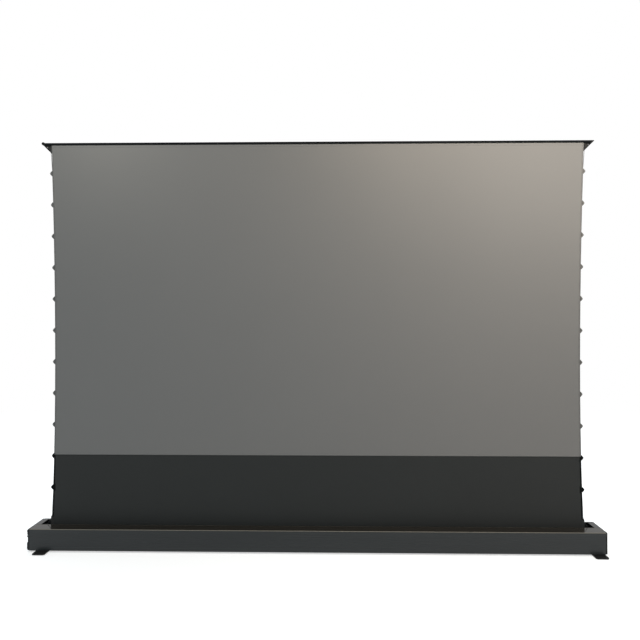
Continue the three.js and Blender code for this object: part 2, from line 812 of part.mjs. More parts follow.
function buildBaseBrackets() {
  const fall = basePivotHeight;
  const ear = () => {
    const shape = new THREE.Shape();
    const half = bracketLength / 2;
    shape.moveTo(-half, -fall);
    shape.lineTo(half, -fall);
    shape.lineTo(half, -fall + bracketFoot);
    shape.lineTo(clevisEar, 0);
    shape.absarc(0, 0, clevisEar, 0, Math.PI, false);
    shape.lineTo(-half, -fall + bracketFoot);
    return addRoundHole(shape, 0, 0, pinRadius + pinPlay);
  };
  const frontEar = alongY(ear(), baseForkFrontY, baseForkFrontY + forkPlate, roundSteps);
  const rearEar = alongY(ear(), baseForkRearY - forkPlate, baseForkRearY, roundSteps);
  const soleShape = rectangle(-bracketLength / 2, -fall, bracketLength / 2, -fall + bracketFoot);
  const sole = alongY(soleShape, baseForkFrontY, baseForkRearY);
  const bracket = join(frontEar, rearEar, sole);
  const pin = flangedPin(pinRadius, baseForkFrontY, baseForkRearY);
  for (const [side, sign] of [['left', -1], ['right', 1]]) {
    const at = [sign * armPivotX, 0, basePivotZ];
    place(`${side}_base_bracket`, bracket.clone(), zinc, screen, at);
    place(`${side}_base_pin`, pin.clone(), steel, screen, at);
  }
}

// Folding arms

// Cast end of an arm: an eye at the origin and a plug that fills the tube along +X
function armEnd(radius, neck, boreRadius) {
  const half = armHeight / 2;
  const lift = radius > half ? Math.asin(half / radius) : Math.PI / 2;
  const shape = new THREE.Shape();
  shape.moveTo(neck, -half);
  shape.lineTo(neck, half);
  shape.absarc(0, 0, radius, lift, 2 * Math.PI - lift, false);
  addRoundHole(shape, 0, 0, boreRadius);
  const eye = alongY(shape, -armWidth / 2, armWidth / 2, roundSteps);
  const plugSection = outline(chamferedPoints(
    armWidth - 2 * (armWall + cutGap), armHeight - 2 * (armWall + cutGap), armChamfer));
  const plug = alongX(plugSection, neck - armWall, neck + plugLength);
  return join(eye, plug);
}

function armTube() {
  const shape = outline(chamferedPoints(armWidth, armHeight, armChamfer));
  addHole(shape, chamferedPoints(armWidth - 2 * armWall, armHeight - 2 * armWall, armChamfer - armWall / 2));
  return shape;
}

function liftSpring() {
  const start = eyeNeck + plugLength + cutGap;
  const end = armLink - kneeNeck - plugLength - cutGap;
  const bodyEnd = start + (end - start) * springBodyShare;
  return turnedAlongX(steppedProfile(start, [[bodyEnd, springRadius], [end, springRodRadius]]), smallSteps);
}

function armFrame(x, z, angle) {
  const frame = new THREE.Group();
  frame.position.set(x, 0, z);
  frame.rotation.y = -angle;
  screen.add(frame);
  return frame;
}

function buildArms() {
  const eye = armEnd(eyeRadius, eyeNeck, pinRadius + pinPlay);
  const knee = armEnd(kneeRadius, kneeNeck, kneePinRadius + pinPlay);
  const farKnee = knee.clone().rotateZ(Math.PI);
  const farEye = eye.clone().rotateZ(Math.PI);
  const lowerTube = alongX(armTube(), eyeNeck, armLink - kneeNeck);
  const upperTube = alongX(armTube(), kneeNeck, armLink - eyeNeck);
  const spacer = [upperArmFrontY + armWidth + cutGap, lowerArmFrontY - cutGap];
  const kneePin = flangedPin(
    kneePinRadius, upperArmFrontY - cutGap, lowerArmFrontY + armWidth + cutGap, spacer);
  for (const [side, sign] of [['left', -1], ['right', 1]]) {
    const lean = sign < 0 ? raisedAngle : Math.PI - raisedAngle;
    const lower = armFrame(sign * armPivotX, basePivotZ, lean);
    const upper = armFrame(sign * kneeX, kneeZ, Math.PI - lean);
    place(`${side}_lower_arm`, lowerTube.clone(), armBlack, lower, [0, lowerArmY, 0]);
    place(`${side}_base_knuckle`, eye.clone(), castGrey, lower, [0, lowerArmY, 0]);
    place(`${side}_lower_knee`, farKnee.clone(), castGrey, lower, [armLink, lowerArmY, 0]);
    place(`${side}_knee_pin`, kneePin.clone(), steel, lower, [armLink, 0, 0]);
    place(`${side}_lift_spring`, liftSpring(), steel, lower, [0, lowerArmY, 0]);
    place(`${side}_upper_arm`, upperTube.clone(), armBlack, upper, [0, upperArmY, 0]);
    place(`${side}_upper_knee`, knee.clone(), castGrey, upper, [0, upperArmY, 0]);
    place(`${side}_top_knuckle`, farEye.clone(), castGrey, upper, [armLink, upperArmY, 0]);
  }
}

// Roller and drive

function ringProfile(inner, outer, low, high) {
  return [[inner, low], [outer, low], [outer, high], [inner, high], [inner, low]];
}

function buildRoller() {
  const axis = [0, rollerY, rollerZ];
  const tube = turnedAlongX(ringProfile(rollerBore, rollerRadius, -rollerHalf, rollerHalf), rollerSteps);
  place('roller_tube', tube, tubeAluminium, screen, axis);
  const wrap = turnedAlongX(
    ringProfile(rollerRadius + wrapGap, wrapRadius, -bottomHalfWidth, bottomHalfWidth), rollerSteps);
  place('fabric_wrap', wrap, dropBlack, screen, axis);

  const plugStart = -rollerHalf;
  const axleEnd = -panelHalf + bracketThickness + idlerCupLength * (1 - idlerAxleShare);
  const plug = turnedAlongX(steppedProfile(axleEnd, [
    [plugStart, idlerAxleRadius], [plugStart + idlerPlugLength, rollerBore - cutGap],
  ]), rollerSteps);
  place('idler_plug', plug, blackPlastic, screen, axis);

  const motorEnd = panelHalf - bracketThickness;
  const motorInner = motorEnd - motorLength;
  const wheelShape = new THREE.Shape();
  const lobes = 2 * driveWheelLobes;
  for (let k = 0; k < lobes; k += 1) {
    const angle = 2 * Math.PI * k / lobes;
    const next = angle + 2 * Math.PI / lobes;
    const radius = rollerBore - cutGap - (k % 2 === 0 ? 0 : driveWheelNotch);
    if (k === 0) wheelShape.moveTo(radius, 0);
    wheelShape.lineTo(Math.cos(angle) * radius, Math.sin(angle) * radius);
    wheelShape.lineTo(Math.cos(next) * radius, Math.sin(next) * radius);
  }
  const wheelEnd = motorInner - cutGap;
  place('drive_wheel', alongX(wheelShape, wheelEnd - driveWheelLength, wheelEnd), blackPlastic, screen, axis);
  const crownEnd = rollerHalf - motorCrownLength;
  const motor = turnedAlongX(steppedProfile(motorInner, [
    [crownEnd, motorRadius], [motorEnd, rollerBore - runningGap],
  ]), rollerSteps);
  place('tubular_motor', motor, zinc, screen, axis);
}

function buildRollerBrackets() {
  const motorPlate = alongX(outline(chamferedPoints(motorBracketSize, motorBracketSize, endCapChamfer)),
    panelHalf - bracketThickness, panelHalf);
  place('motor_bracket', motorPlate, zinc, screen, [0, rollerY, rollerZ]);
  const idlerPlate = alongX(outline(chamferedPoints(idlerBracketSize, idlerBracketSize, endCapChamfer)),
    -panelHalf, -panelHalf + bracketThickness);
  const cup = turnedAlongX(steppedProfile(-panelHalf + bracketThickness / 2, [
    [-panelHalf + bracketThickness + idlerCupLength, idlerCupRadius],
  ]), roundSteps);
  const bore = turnedAlongX(steppedProfile(-panelHalf + bracketThickness, [
    [-panelHalf + bracketThickness + idlerCupLength + overrun, idlerAxleRadius + pinPlay],
  ]), rollerSteps);
  place('idler_bracket', cut(join(idlerPlate, cup), bore), zinc, screen, [0, rollerY, rollerZ]);
}

function buildControlBox() {
  const profile = outline(chamferedPoints(controlDepth, controlHeight, controlChamfer));
  const body = alongX(profile, -controlLength / 2, controlLength / 2);
  const earHalf = controlLength / 2 + controlEar;
  const low = -controlHeight / 2;
  const earDepth = controlDepth / 2 - controlChamfer;
  const ears = alongX(rectangle(-earDepth, low, earDepth, low + controlEarThickness), -earHalf, earHalf);
  const y = upperArmFrontY + controlSetback + controlDepth / 2;
  place('control_box', join(body, ears), blackPlastic, screen, [0, y, floorTop + controlHeight / 2]);
}

buildFloorPanel();
buildFrontPanel();
buildRearPanel();
buildTopCover();
buildEndCaps();
buildSwitch();
buildMainsInlet();
buildFeet();
buildFabric();
buildCords();
buildTopRail();
buildRailEnds();
buildClevises();
buildBaseBrackets();
buildArms();
buildRoller();
buildRollerBrackets();
buildControlBox();

export default screen;
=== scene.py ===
"""Looks of a floor-standing pull up projection screen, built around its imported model."""

import json
import math

import bmesh
import bpy
from mathutils import Matrix, Vector


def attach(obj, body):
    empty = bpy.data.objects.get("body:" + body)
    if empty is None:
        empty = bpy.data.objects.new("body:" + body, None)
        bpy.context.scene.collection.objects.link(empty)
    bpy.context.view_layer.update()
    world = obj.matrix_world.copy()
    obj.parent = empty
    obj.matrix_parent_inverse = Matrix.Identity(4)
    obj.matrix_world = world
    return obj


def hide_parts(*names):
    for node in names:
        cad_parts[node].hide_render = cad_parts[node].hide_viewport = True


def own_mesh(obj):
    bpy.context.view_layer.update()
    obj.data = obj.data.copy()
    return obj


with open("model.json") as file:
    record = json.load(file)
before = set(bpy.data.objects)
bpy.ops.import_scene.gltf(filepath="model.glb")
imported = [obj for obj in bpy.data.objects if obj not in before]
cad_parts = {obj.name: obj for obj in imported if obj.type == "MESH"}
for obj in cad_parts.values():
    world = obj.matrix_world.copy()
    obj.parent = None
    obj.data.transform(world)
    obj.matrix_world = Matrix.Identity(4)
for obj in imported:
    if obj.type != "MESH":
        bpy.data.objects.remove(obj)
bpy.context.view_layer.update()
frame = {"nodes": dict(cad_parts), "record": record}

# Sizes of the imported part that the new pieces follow, in metres
HOUSING_HALF = 1.220
HOUSING_REAR = 0.070
HOUSING_TOP = 0.098
RAIL_UNDERSIDE = 1.745
RAIL_TOP = 1.755
WEB_Y = 0.0020
FABRIC_TOP = 1.7528
FABRIC_FRONT = -0.0040
FABRIC_BACK = -0.0035
FABRIC_THICKNESS = FABRIC_BACK - FABRIC_FRONT
SEAM_Z = 0.401
TOP_HALF = 1.147
BOTTOM_HALF = 1.146
WAIST_INSET = 0.016
WAIST_Z = 0.80621
TAB_COUNT = 11
BLACK_TABS = 2
TOP_TAB_Z = 1.623
TAB_PITCH = 0.1364
TAB_HEIGHT = 0.030
TAB_REACH = 0.012
CORD_Y = -0.00195
CORD_FLARE_WIDTH = 0.022
CORD_FLARE_HEIGHT = 0.027
CORD_ANCHOR_OFFSET = 0.006
CORD_ANCHOR_DROP = 0.002
CORD_WIND_Y = -0.0039
ROLLER_Y = -0.0304
ROLLER_Z = 0.050
ROLLER_RADIUS = 0.025

# Camera, fitted to the photograph's edges
CAMERA_PLACE = (0.0680, -2.6000, 0.9894)
CAMERA_TILT = 89.925
CAMERA_PAN = 1.070
CAMERA_LENS = 33.85
SENSOR_WIDTH = 36.0


# Node materials. Texture scales are in cells a metre, and bump distances are in metres.

# Numbers of the Mix node's sockets for colours, which share their names with those for other values
MIX_UNDER = 6
MIX_OVER = 7
MIX_RESULT = 2


class Surface:
    """A material: one Principled shader fed by textures that are fixed to the piece."""

    def __init__(self, name, colour, roughness, metallic=0.0, **sockets):
        self.material = bpy.data.materials.new(name)
        self.material.use_nodes = True
        self.tree = self.material.node_tree
        self.shader = self.tree.nodes["Principled BSDF"]
        self.place = self.tree.nodes.new("ShaderNodeTexCoord").outputs["Object"]
        self.colour = self.shader.inputs["Base Color"]
        self.roughness = self.shader.inputs["Roughness"]
        self.plain_colour = colour
        self.plain_roughness = roughness
        self.colour.default_value = (*colour, 1)
        self.roughness.default_value = roughness
        self.shader.inputs["Metallic"].default_value = metallic
        for socket, value in sockets.items():
            self.shader.inputs[socket.replace("_", " ")].default_value = value

    def link(self, source, target):
        self.tree.links.new(source, target)

    def node(self, kind, values=(), **settings):
        """A new node whose inputs take the given numbers, colours or other nodes' outputs."""
        made = self.tree.nodes.new(kind)
        for key, value in settings.items():
            setattr(made, key, value)
        for key, value in dict(values).items():
            if isinstance(value, bpy.types.NodeSocket):
                self.link(value, made.inputs[key])
            else:
                made.inputs[key].default_value = value
        return made

    def maths(self, operation, first, second):
        return self.node("ShaderNodeMath", {0: first, 1: second}, operation=operation).outputs["Value"]

    def stretched(self, stretch):
        """The piece's own coordinates, scaled by a different number along each axis."""
        mapping = self.node("ShaderNodeMapping", {"Vector": self.place, "Scale": stretch})
        return mapping.outputs["Vector"]

    def noise(self, scale, stretch=(1, 1, 1), detail=3.0, roughness=0.55):
        values = {
            "Vector": self.stretched(stretch), "Scale": scale, "Detail": detail, "Roughness": roughness,
        }
        return self.node("ShaderNodeTexNoise", values).outputs["Fac"]

    def cells(self, scale, stretch=(1, 1, 1)):
        values = {"Vector": self.stretched(stretch), "Scale": scale}
        return self.node("ShaderNodeTexVoronoi", values).outputs["Distance"]

    def lines(self, scale, direction):
        values = {"Vector": self.place, "Scale": scale, "Distortion": 0.0}
        return self.node("ShaderNodeTexWave", values, bands_direction=direction).outputs["Fac"]

    def spread(self, value, low, high, start=0.3, end=0.7):
        """Maps the range from start to end onto low to high, by default the middle of a texture's."""
        values = {"Value": value, "From Min": start, "From Max": end, "To Min": low, "To Max": high}
        return self.node("ShaderNodeMapRange", values).outputs["Result"]

    def tint(self, factor, colour):
        """Lays a colour over what the shader has so far, as much as factor says."""
        under = self.colour.links[0].from_socket if self.colour.is_linked else self.colour.default_value
        mix = self.node(
            "ShaderNodeMix", {0: factor, MIX_UNDER: under, MIX_OVER: (*colour, 1)}, data_type="RGBA")
        self.link(mix.outputs[MIX_RESULT], self.colour)

    def mottle(self, texture, most, brightness):
        """Where the texture is high, up to most of the colour turns into a darker or lighter tone of it."""
        self.tint(self.spread(texture, 0, most), shade(self.plain_colour, brightness))

    def vary_roughness(self, texture, less, more):
        """Lets the texture move the roughness from less below its plain value to more above it."""
        low = self.plain_roughness - less
        high = self.plain_roughness + more
        self.link(self.spread(texture, low, high), self.roughness)

    def bump(self, height, distance, strength):
        values = {"Height": height, "Distance": distance, "Strength": strength}
        bumped = self.node("ShaderNodeBump", values)
        self.link(bumped.outputs["Normal"], self.shader.inputs["Normal"])


def shade(colour, brightness):
    return tuple(min(1.0, channel * brightness) for channel in colour)


# How far a face may turn from a direction and still take the painted highlight
FACING_START = 0.87
FACING_FULL = 0.97


def facing(surface, direction):
    """1 where the surface faces a direction of the piece's own frame, falling to 0 about 30 degrees off."""
    own_normal = surface.node("ShaderNodeTexCoord").outputs["Normal"]
    values = {0: own_normal, 1: Vector(direction).normalized()}
    turned = surface.node("ShaderNodeVectorMath", values, operation="DOT_PRODUCT")
    return surface.spread(turned.outputs["Value"], 0, 1, FACING_START, FACING_FULL)


def extruded_metal(
        name, colour, roughness, gloss, lit, towards=(0, -1, 1), reflection=(1, 1, 1)):
    """Dyed anodised aluminium with the lengthwise lines of an extrusion, and a painted highlight in a
    lighter tone on the faces turned one way.
    """
    surface = Surface(
        name, colour, roughness, Specular_IOR_Level=gloss, Specular_Tint=(*reflection, 1))
    grain = surface.noise(90, stretch=(0.02, 1, 1), detail=4)
    surface.mottle(surface.noise(3.5, stretch=(0.4, 1, 1), detail=2), most=0.5, brightness=1.35)
    surface.mottle(grain, most=0.35, brightness=0.7)
    # Painted highlight: faces turned the given way take the lighter colour.
    surface.tint(facing(surface, towards), lit)
    surface.vary_roughness(grain, less=0.03, more=0.05)
    surface.bump(surface.noise(260, stretch=(0.01, 1, 1), detail=2), distance=0.00002, strength=0.12)
    return surface.material


def powder_coat(name, colour, roughness, gloss=0.45):
    """Black powder coating: a fine orange peel, a little worn where hands and stops rub it."""
    surface = Surface(name, colour, roughness, Specular_IOR_Level=gloss)
    peel = surface.noise(420, detail=2)
    surface.mottle(surface.noise(14, detail=4), most=0.4, brightness=1.5)
    surface.vary_roughness(peel, less=0.06, more=0.08)
    surface.bump(peel, distance=0.0001, strength=0.4)
    return surface.material


def moulded_plastic(name, colour, roughness, gloss=0.45):
    """Spark-eroded texture of a moulding."""
    surface = Surface(name, colour, roughness, Specular_IOR_Level=gloss)
    surface.mottle(surface.noise(20), most=0.4, brightness=1.4)
    surface.vary_roughness(surface.noise(35), less=0.05, more=0.08)
    surface.bump(surface.cells(900), distance=0.00008, strength=0.35)
    return surface.material


# Distances below the rail's underside over which the web's tone fades in out of a painted shadow of the
# rail, and distances before and behind the gusset's web over which its tone fades in
RAIL_SHADOW_ON_WEB = (0.0024, 0.0018)
WEB_BEFORE = (0.0006, 0.0002)
WEB_BEHIND = (0.0003, 0.0006)


def gusset_casting(name, rim, web):
    """Black moulding whose recessed web is a lighter, plainer skin, with a painted shadow of the rail
    across the web's top.
    """
    surface = Surface(name, rim, roughness=0.5, Specular_IOR_Level=0.2)
    spot = surface.node("ShaderNodeSeparateXYZ", {"Vector": surface.place}).outputs
    # Painted shadow: the web keeps the rim's black for about 2 mm under the rail.
    low = surface.spread(spot["Z"], 1, 0, *(RAIL_UNDERSIDE - drop for drop in RAIL_SHADOW_ON_WEB))
    deep = surface.spread(spot["Y"], 0, 1, *(WEB_Y - gap for gap in WEB_BEFORE))
    near = surface.spread(spot["Y"], 1, 0, *(WEB_Y + gap for gap in WEB_BEHIND))
    surface.mottle(surface.noise(20), most=0.4, brightness=1.4)
    surface.tint(surface.maths("MULTIPLY", surface.maths("MULTIPLY", low, deep), near), web)
    surface.vary_roughness(surface.noise(35), less=0.06, more=0.08)
    surface.bump(surface.cells(900), distance=0.00006, strength=0.3)
    return surface.material


def rubber(name, colour):
    """Dull black rubber with a little dust on it."""
    surface = Surface(name, colour, roughness=0.8, Specular_IOR_Level=0.3)
    surface.mottle(surface.noise(60, detail=5), most=0.5, brightness=2.2)
    surface.bump(surface.noise(500), distance=0.00012, strength=0.5)
    return surface.material


def plated_metal(name, colour, roughness, brushing=(1, 1, 1)):
    """Bare or plated metal, brushed or turned along the given stretch."""
    surface = Surface(name, colour, roughness, metallic=1.0)
    streak = surface.noise(160, stretch=brushing, detail=4)
    surface.mottle(surface.noise(9), most=0.45, brightness=0.78)
    surface.vary_roughness(streak, less=0.06, more=0.1)
    surface.bump(streak, distance=0.00003, strength=0.35)
    return surface.material


def cast_metal(name, colour):
    """Dark casting with a sandy skin."""
    surface = Surface(name, colour, roughness=0.5, metallic=0.7)
    skin = surface.noise(230, detail=4)
    surface.mottle(surface.noise(18), most=0.5, brightness=0.6)
    surface.vary_roughness(skin, less=0.1, more=0.08)
    surface.bump(skin, distance=0.0002, strength=0.5)
    return surface.material


def screen_front(name, colour):
    """Light-rejecting face: matt grey with very fine level ridges and a faint speckle."""
    surface = Surface(
        name, colour, roughness=0.62, Specular_IOR_Level=0.3, Sheen_Weight=0.06, Sheen_Roughness=0.5)
    ridge = surface.noise(950, stretch=(0.12, 1, 1), detail=2)
    surface.mottle(surface.noise(700, detail=2, roughness=0.6), most=0.35, brightness=1.12)
    surface.mottle(surface.noise(2.2, detail=2), most=0.22, brightness=0.93)
    surface.vary_roughness(ridge, less=0.07, more=0.08)
    surface.bump(ridge, distance=0.00005, strength=0.3)
    return surface.material


def coated_cloth(name, colour, roughness=0.66, gloss=0.28):
    """Black light-blocking coat over a plain weave."""
    surface = Surface(name, colour, roughness, Specular_IOR_Level=gloss, Sheen_Weight=0.04)
    weave = surface.maths("MAXIMUM", surface.lines(1200, "X"), surface.lines(1200, "Z"))
    surface.mottle(surface.noise(420), most=0.5, brightness=1.35)
    surface.mottle(surface.noise(2.6, detail=2), most=0.35, brightness=0.8)
    surface.vary_roughness(surface.noise(500), less=0.06, more=0.08)
    surface.bump(weave, distance=0.00006, strength=0.25)
    return surface.material


def braid(name, colour):
    """Braided sheath of a thin cord."""
    surface = Surface(name, colour, roughness=0.7, Specular_IOR_Level=0.3, Sheen_Weight=0.1)
    strands = surface.cells(1500, stretch=(1, 1, 0.55))
    surface.tint(surface.spread(strands, 0, 0.6, start=0.1, end=0.6), shade(colour, 2.2))
    surface.bump(strands, distance=0.0003, strength=0.7)
    return surface.material


def tinted_lens(name, colour):
    """Dark red clear plastic, faintly cloudy inside."""
    surface = Surface(
        name, colour, roughness=0.08, Specular_IOR_Level=0.6, Coat_Weight=0.5, Coat_Roughness=0.03)
    surface.mottle(surface.noise(300, detail=2), most=0.5, brightness=2.5)
    surface.bump(surface.noise(150), distance=0.00003, strength=0.2)
    return surface.material


# Colours
BLACK_METAL = (0.0205, 0.0240, 0.0255)
COVER_BLACK = (0.0260, 0.0235, 0.0200)
# Painted highlight along the front top bevel of the housing and the cover
BEVEL_HIGHLIGHT = (0.210, 0.195, 0.165)
RAIL_BLACK = (0.0045, 0.0055, 0.0062)
COAT_BLACK = (0.0075, 0.0082, 0.0082)
ARM_BLACK = (0.016, 0.0165, 0.017)
CAP_BLACK = (0.0085, 0.0095, 0.0100)
SWITCH_BLACK = (0.011, 0.011, 0.012)
RUBBER_BLACK = (0.016, 0.016, 0.016)
GUSSET_RIM = (0.0070, 0.0072, 0.0072)
GUSSET_WEB = (0.021, 0.0212, 0.0205)
SCREEN_GREY = (0.156, 0.156, 0.153)
TAPE_GREY = (0.132, 0.132, 0.129)
TAB_GREY = (0.115, 0.115, 0.112)
DROP_BLACK = (0.0150, 0.0170, 0.0168)
EDGE_BLACK = (0.0035, 0.0042, 0.0042)
BACK_BLACK = (0.02, 0.0205, 0.021)
CORD_BLACK = (0.014, 0.0145, 0.015)
DARK_METAL = (0.085, 0.087, 0.09)
ALUMINIUM = (0.62, 0.63, 0.64)
ZINC = (0.55, 0.56, 0.57)
STEEL = (0.58, 0.58, 0.58)
SCREW_NICKEL = (0.34, 0.34, 0.33)
PIN_NICKEL = (0.66, 0.64, 0.58)
LENS_RED = (0.030, 0.004, 0.005)
MARK_WHITE = (0.62, 0.62, 0.60)
WARM_REFLECTION = (1.0, 0.95, 0.84)

# The housing and the cover carry a painted highlight on their front top bevel.
housing_look = extruded_metal(
    "housing_anodised", BLACK_METAL, roughness=0.26, gloss=0.28, lit=BEVEL_HIGHLIGHT)
cover_look = extruded_metal(
    "cover_anodised", COVER_BLACK, roughness=0.13, gloss=0.12, lit=BEVEL_HIGHLIGHT, reflection=WARM_REFLECTION)
# The rail's upward faces take a painted highlight in the housing's black.
rail_look = extruded_metal(
    "rail_anodised", RAIL_BLACK, roughness=0.34, gloss=0.06, lit=BLACK_METAL, towards=(0, 0, 1))
cap_look = moulded_plastic("end_cap_plastic", CAP_BLACK, roughness=0.16, gloss=0.15)
plastic_look = moulded_plastic("black_plastic", SWITCH_BLACK, roughness=0.36)
mark_look = moulded_plastic("mark_white", MARK_WHITE, roughness=0.5)
gusset_look = gusset_casting("rail_end_plastic", GUSSET_RIM, GUSSET_WEB)
foot_look = powder_coat("foot_powder_coat", COAT_BLACK, roughness=0.55, gloss=0.25)
arm_look = powder_coat("arm_powder_coat", ARM_BLACK, roughness=0.46)
coated_screw_look = powder_coat("screw_black_coat", COAT_BLACK, roughness=0.5, gloss=0.2)
casting_look = cast_metal("dark_casting", DARK_METAL)
rubber_look = rubber("pad_rubber", RUBBER_BLACK)
zinc_look = plated_metal("zinc_plate", ZINC, roughness=0.38, brushing=(1, 1, 0.2))
steel_look = plated_metal("turned_steel", STEEL, roughness=0.25, brushing=(1, 0.08, 1))
tube_look = plated_metal("mill_aluminium", ALUMINIUM, roughness=0.32, brushing=(0.02, 1, 1))
pin_look = plated_metal("inlet_nickel", PIN_NICKEL, roughness=0.22, brushing=(0.05, 1, 1))
nickel_screw_look = plated_metal("screw_nickel", SCREW_NICKEL, roughness=0.36)
dark_screw_look = plated_metal("screw_black_zinc", DARK_METAL, roughness=0.36)
grey_look = screen_front("screen_grey_face", SCREEN_GREY)
tape_look = screen_front("screen_grey_tape", TAPE_GREY)
tab_look = screen_front("screen_grey_tab", TAB_GREY)
drop_look = coated_cloth("drop_black_face", DROP_BLACK)
black_tape_look = coated_cloth("drop_black_tape", EDGE_BLACK, roughness=0.85, gloss=0.06)
back_look = coated_cloth("screen_black_back", BACK_BLACK, roughness=0.72)
cord_look = braid("dark_braid", CORD_BLACK)
lens_look = tinted_lens("infrared_lens", LENS_RED)

NODE_LOOKS = {"top_cover": cover_look, "left_rail_end": gusset_look, "right_rail_end": gusset_look}
SLOT_LOOKS = {
    "housing": housing_look, "housing_end": cap_look, "plastic": plastic_look, "foot": foot_look,
    "rubber": rubber_look, "zinc": zinc_look, "rail": rail_look, "arm": arm_look,
    "casting": casting_look, "pin_steel": steel_look, "tube": tube_look,
}


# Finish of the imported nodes

MERGE_DISTANCE = 0.00001
SMOOTH_ANGLE = math.radians(32)
SOFT_EDGE = 0.0004
FINE_EDGE = 0.0002
FINE_SLOTS = ("plastic", "pin_steel", "rubber")
EDGE_SEGMENTS = 2


def smoothing_group():
    """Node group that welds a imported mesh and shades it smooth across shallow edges."""
    group = bpy.data.node_groups.new("smooth_by_angle", "GeometryNodeTree")
    for direction in ("INPUT", "OUTPUT"):
        group.interface.new_socket("Geometry", in_out=direction, socket_type="NodeSocketGeometry")
    start = group.nodes.new("NodeGroupInput")
    bare = group.nodes.new("GeometryNodeRemoveAttribute")
    bare.inputs["Name"].default_value = "custom_normal"
    merge = group.nodes.new("GeometryNodeMergeByDistance")
    merge.inputs["Distance"].default_value = MERGE_DISTANCE
    faces = group.nodes.new("GeometryNodeSetShadeSmooth")
    angle = group.nodes.new("GeometryNodeInputMeshEdgeAngle")
    shallow = group.nodes.new("FunctionNodeCompare")
    shallow.operation = "LESS_EQUAL"
    shallow.inputs["B"].default_value = SMOOTH_ANGLE
    edges = group.nodes.new("GeometryNodeSetShadeSmooth")
    edges.domain = "EDGE"
    end = group.nodes.new("NodeGroupOutput")
    links = group.links
    links.new(start.outputs["Geometry"], bare.inputs["Geometry"])
    links.new(bare.outputs["Geometry"], merge.inputs["Geometry"])
    links.new(merge.outputs["Geometry"], faces.inputs["Geometry"])
    links.new(faces.outputs["Geometry"], edges.inputs["Geometry"])
    links.new(angle.outputs["Unsigned Angle"], shallow.inputs["A"])
    links.new(shallow.outputs["Result"], edges.inputs["Shade Smooth"])
    links.new(edges.outputs["Geometry"], end.inputs["Geometry"])
    return group


SMOOTHING = smoothing_group()


def smooth(obj):
    obj.modifiers.new("weld_and_smooth", "NODES").node_group = SMOOTHING


def soften(obj, width):
    """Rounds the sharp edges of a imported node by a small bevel."""
    smooth(obj)
    bevel = obj.modifiers.new("soft_edges", "BEVEL")
    bevel.width = width
    bevel.segments = EDGE_SEGMENTS
    bevel.limit_method = "ANGLE"
    bevel.angle_limit = SMOOTH_ANGLE
    bevel.harden_normals = True


def finish_nodes():
    """Gives every rigid node its material. The soft nodes have none here, because pieces replace them."""
    slots = {row["node"]: row["material_slot"] for row in frame["record"]["subparts"]}
    for name, obj in frame["nodes"].items():
        look = NODE_LOOKS.get(name, SLOT_LOOKS.get(slots[name]))
        if look is None:
            continue
        obj.data.materials.clear()
        obj.data.materials.append(look)
        soften(obj, FINE_EDGE if slots[name] in FINE_SLOTS else SOFT_EDGE)


# Mesh helpers

SQUARE = [(-1, -1), (1, -1), (1, 1), (-1, 1)]


def mesh_object(name, points, faces, looks, face_looks=None, smooth_faces=True):
    mesh = bpy.data.meshes.new(name)
    mesh.from_pydata([tuple(p) for p in points], [], faces)
    for look in looks:
        mesh.materials.append(look)
    if face_looks is not None:
        mesh.polygons.foreach_set("material_index", face_looks)
    mesh.polygons.foreach_set("use_smooth", [smooth_faces] * len(mesh.polygons))
    mesh.validate()
    mesh.update()
    obj = bpy.data.objects.new(name, mesh)
    bpy.context.scene.collection.objects.link(obj)
    return obj


def apply_modifiers(obj):
    """Puts the result of the modifiers into the mesh."""
    graph = bpy.context.evaluated_depsgraph_get()
    done = bpy.data.meshes.new_from_object(obj.evaluated_get(graph))
    obj.modifiers.clear()
    obj.data = done


def make_outward(obj):
    """Turns every face of a closed mesh outwards."""
    work = bmesh.new()
    work.from_mesh(obj.data)
    bmesh.ops.recalc_face_normals(work, faces=work.faces)
    work.to_mesh(obj.data)
    work.free()


def side_sign(side):
    return -1 if side == "left" else 1


def lerp(a, b, t):
    return a + (b - a) * t


def steps(a, b, count):
    """Evenly spaced numbers from a up to the last before b."""
    return [lerp(a, b, k / count) for k in range(count)]


def skin_faces(start, rings, count, looped=False):
    """Faces over rings of points that follow one another, closed by two caps or into a loop."""
    faces = []
    for i in range(rings if looped else rings - 1):
        a = start + i * count
        b = start + (i + 1) % rings * count
        for k in range(count):
            n = (k + 1) % count
            faces.append((a + k, a + n, b + n, b + k))
    if not looped:
        last = start + (rings - 1) * count
        faces.append(tuple(start + k for k in reversed(range(count))))
        faces.append(tuple(last + k for k in range(count)))
    return faces


def lofted(name, points, count, look, flip=False):
    """Piece whose skin covers rings of points that follow one another."""
    faces = skin_faces(0, len(points) // count, count)
    if flip:
        faces = [tuple(reversed(face)) for face in faces]
    return mesh_object(name, points, faces, [look])


# Line of the screen's edges

TAB_LEVELS = [TOP_TAB_Z - i * TAB_PITCH for i in range(TAB_COUNT)]
HOLD_LEVELS = [RAIL_UNDERSIDE, *TAB_LEVELS, HOUSING_TOP]
SCALLOP = 0.0004


def fabric_half(z):
    """Half the width of the screen surface at a level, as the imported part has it."""
    if z >= WAIST_Z:
        rise = (z - WAIST_Z) / (RAIL_UNDERSIDE - WAIST_Z)
        return TOP_HALF - WAIST_INSET * (1 - rise * rise)
    fall = min(1.0, (WAIST_Z - z) / (WAIST_Z - HOUSING_TOP))
    waist_half = TOP_HALF - WAIST_INSET
    return waist_half + (BOTTOM_HALF - waist_half) * fall * fall


def between_holds(z):
    """0 at each tab and 1 halfway to the next."""
    for high, low in zip(HOLD_LEVELS, HOLD_LEVELS[1:]):
        if low <= z <= high:
            return math.sin(math.pi * (z - low) / (high - low)) ** 2
    return 0.0


def edge_half(z):
    """The edge pulled in a little between the tabs by the tension across the screen."""
    return fabric_half(z) - SCALLOP * between_holds(z)


PULL_HEIGHT = 0.0007
PULL_REACH = 0.085
WAVE_HEIGHT = 0.00025
WAVE_ACROSS = 5.1
WAVE_ACROSS_START = 0.7
WAVE_UP = 3.3
WAVE_UP_START = 1.1
TOP_CALM = 0.02
FOOT_CALM = 0.40


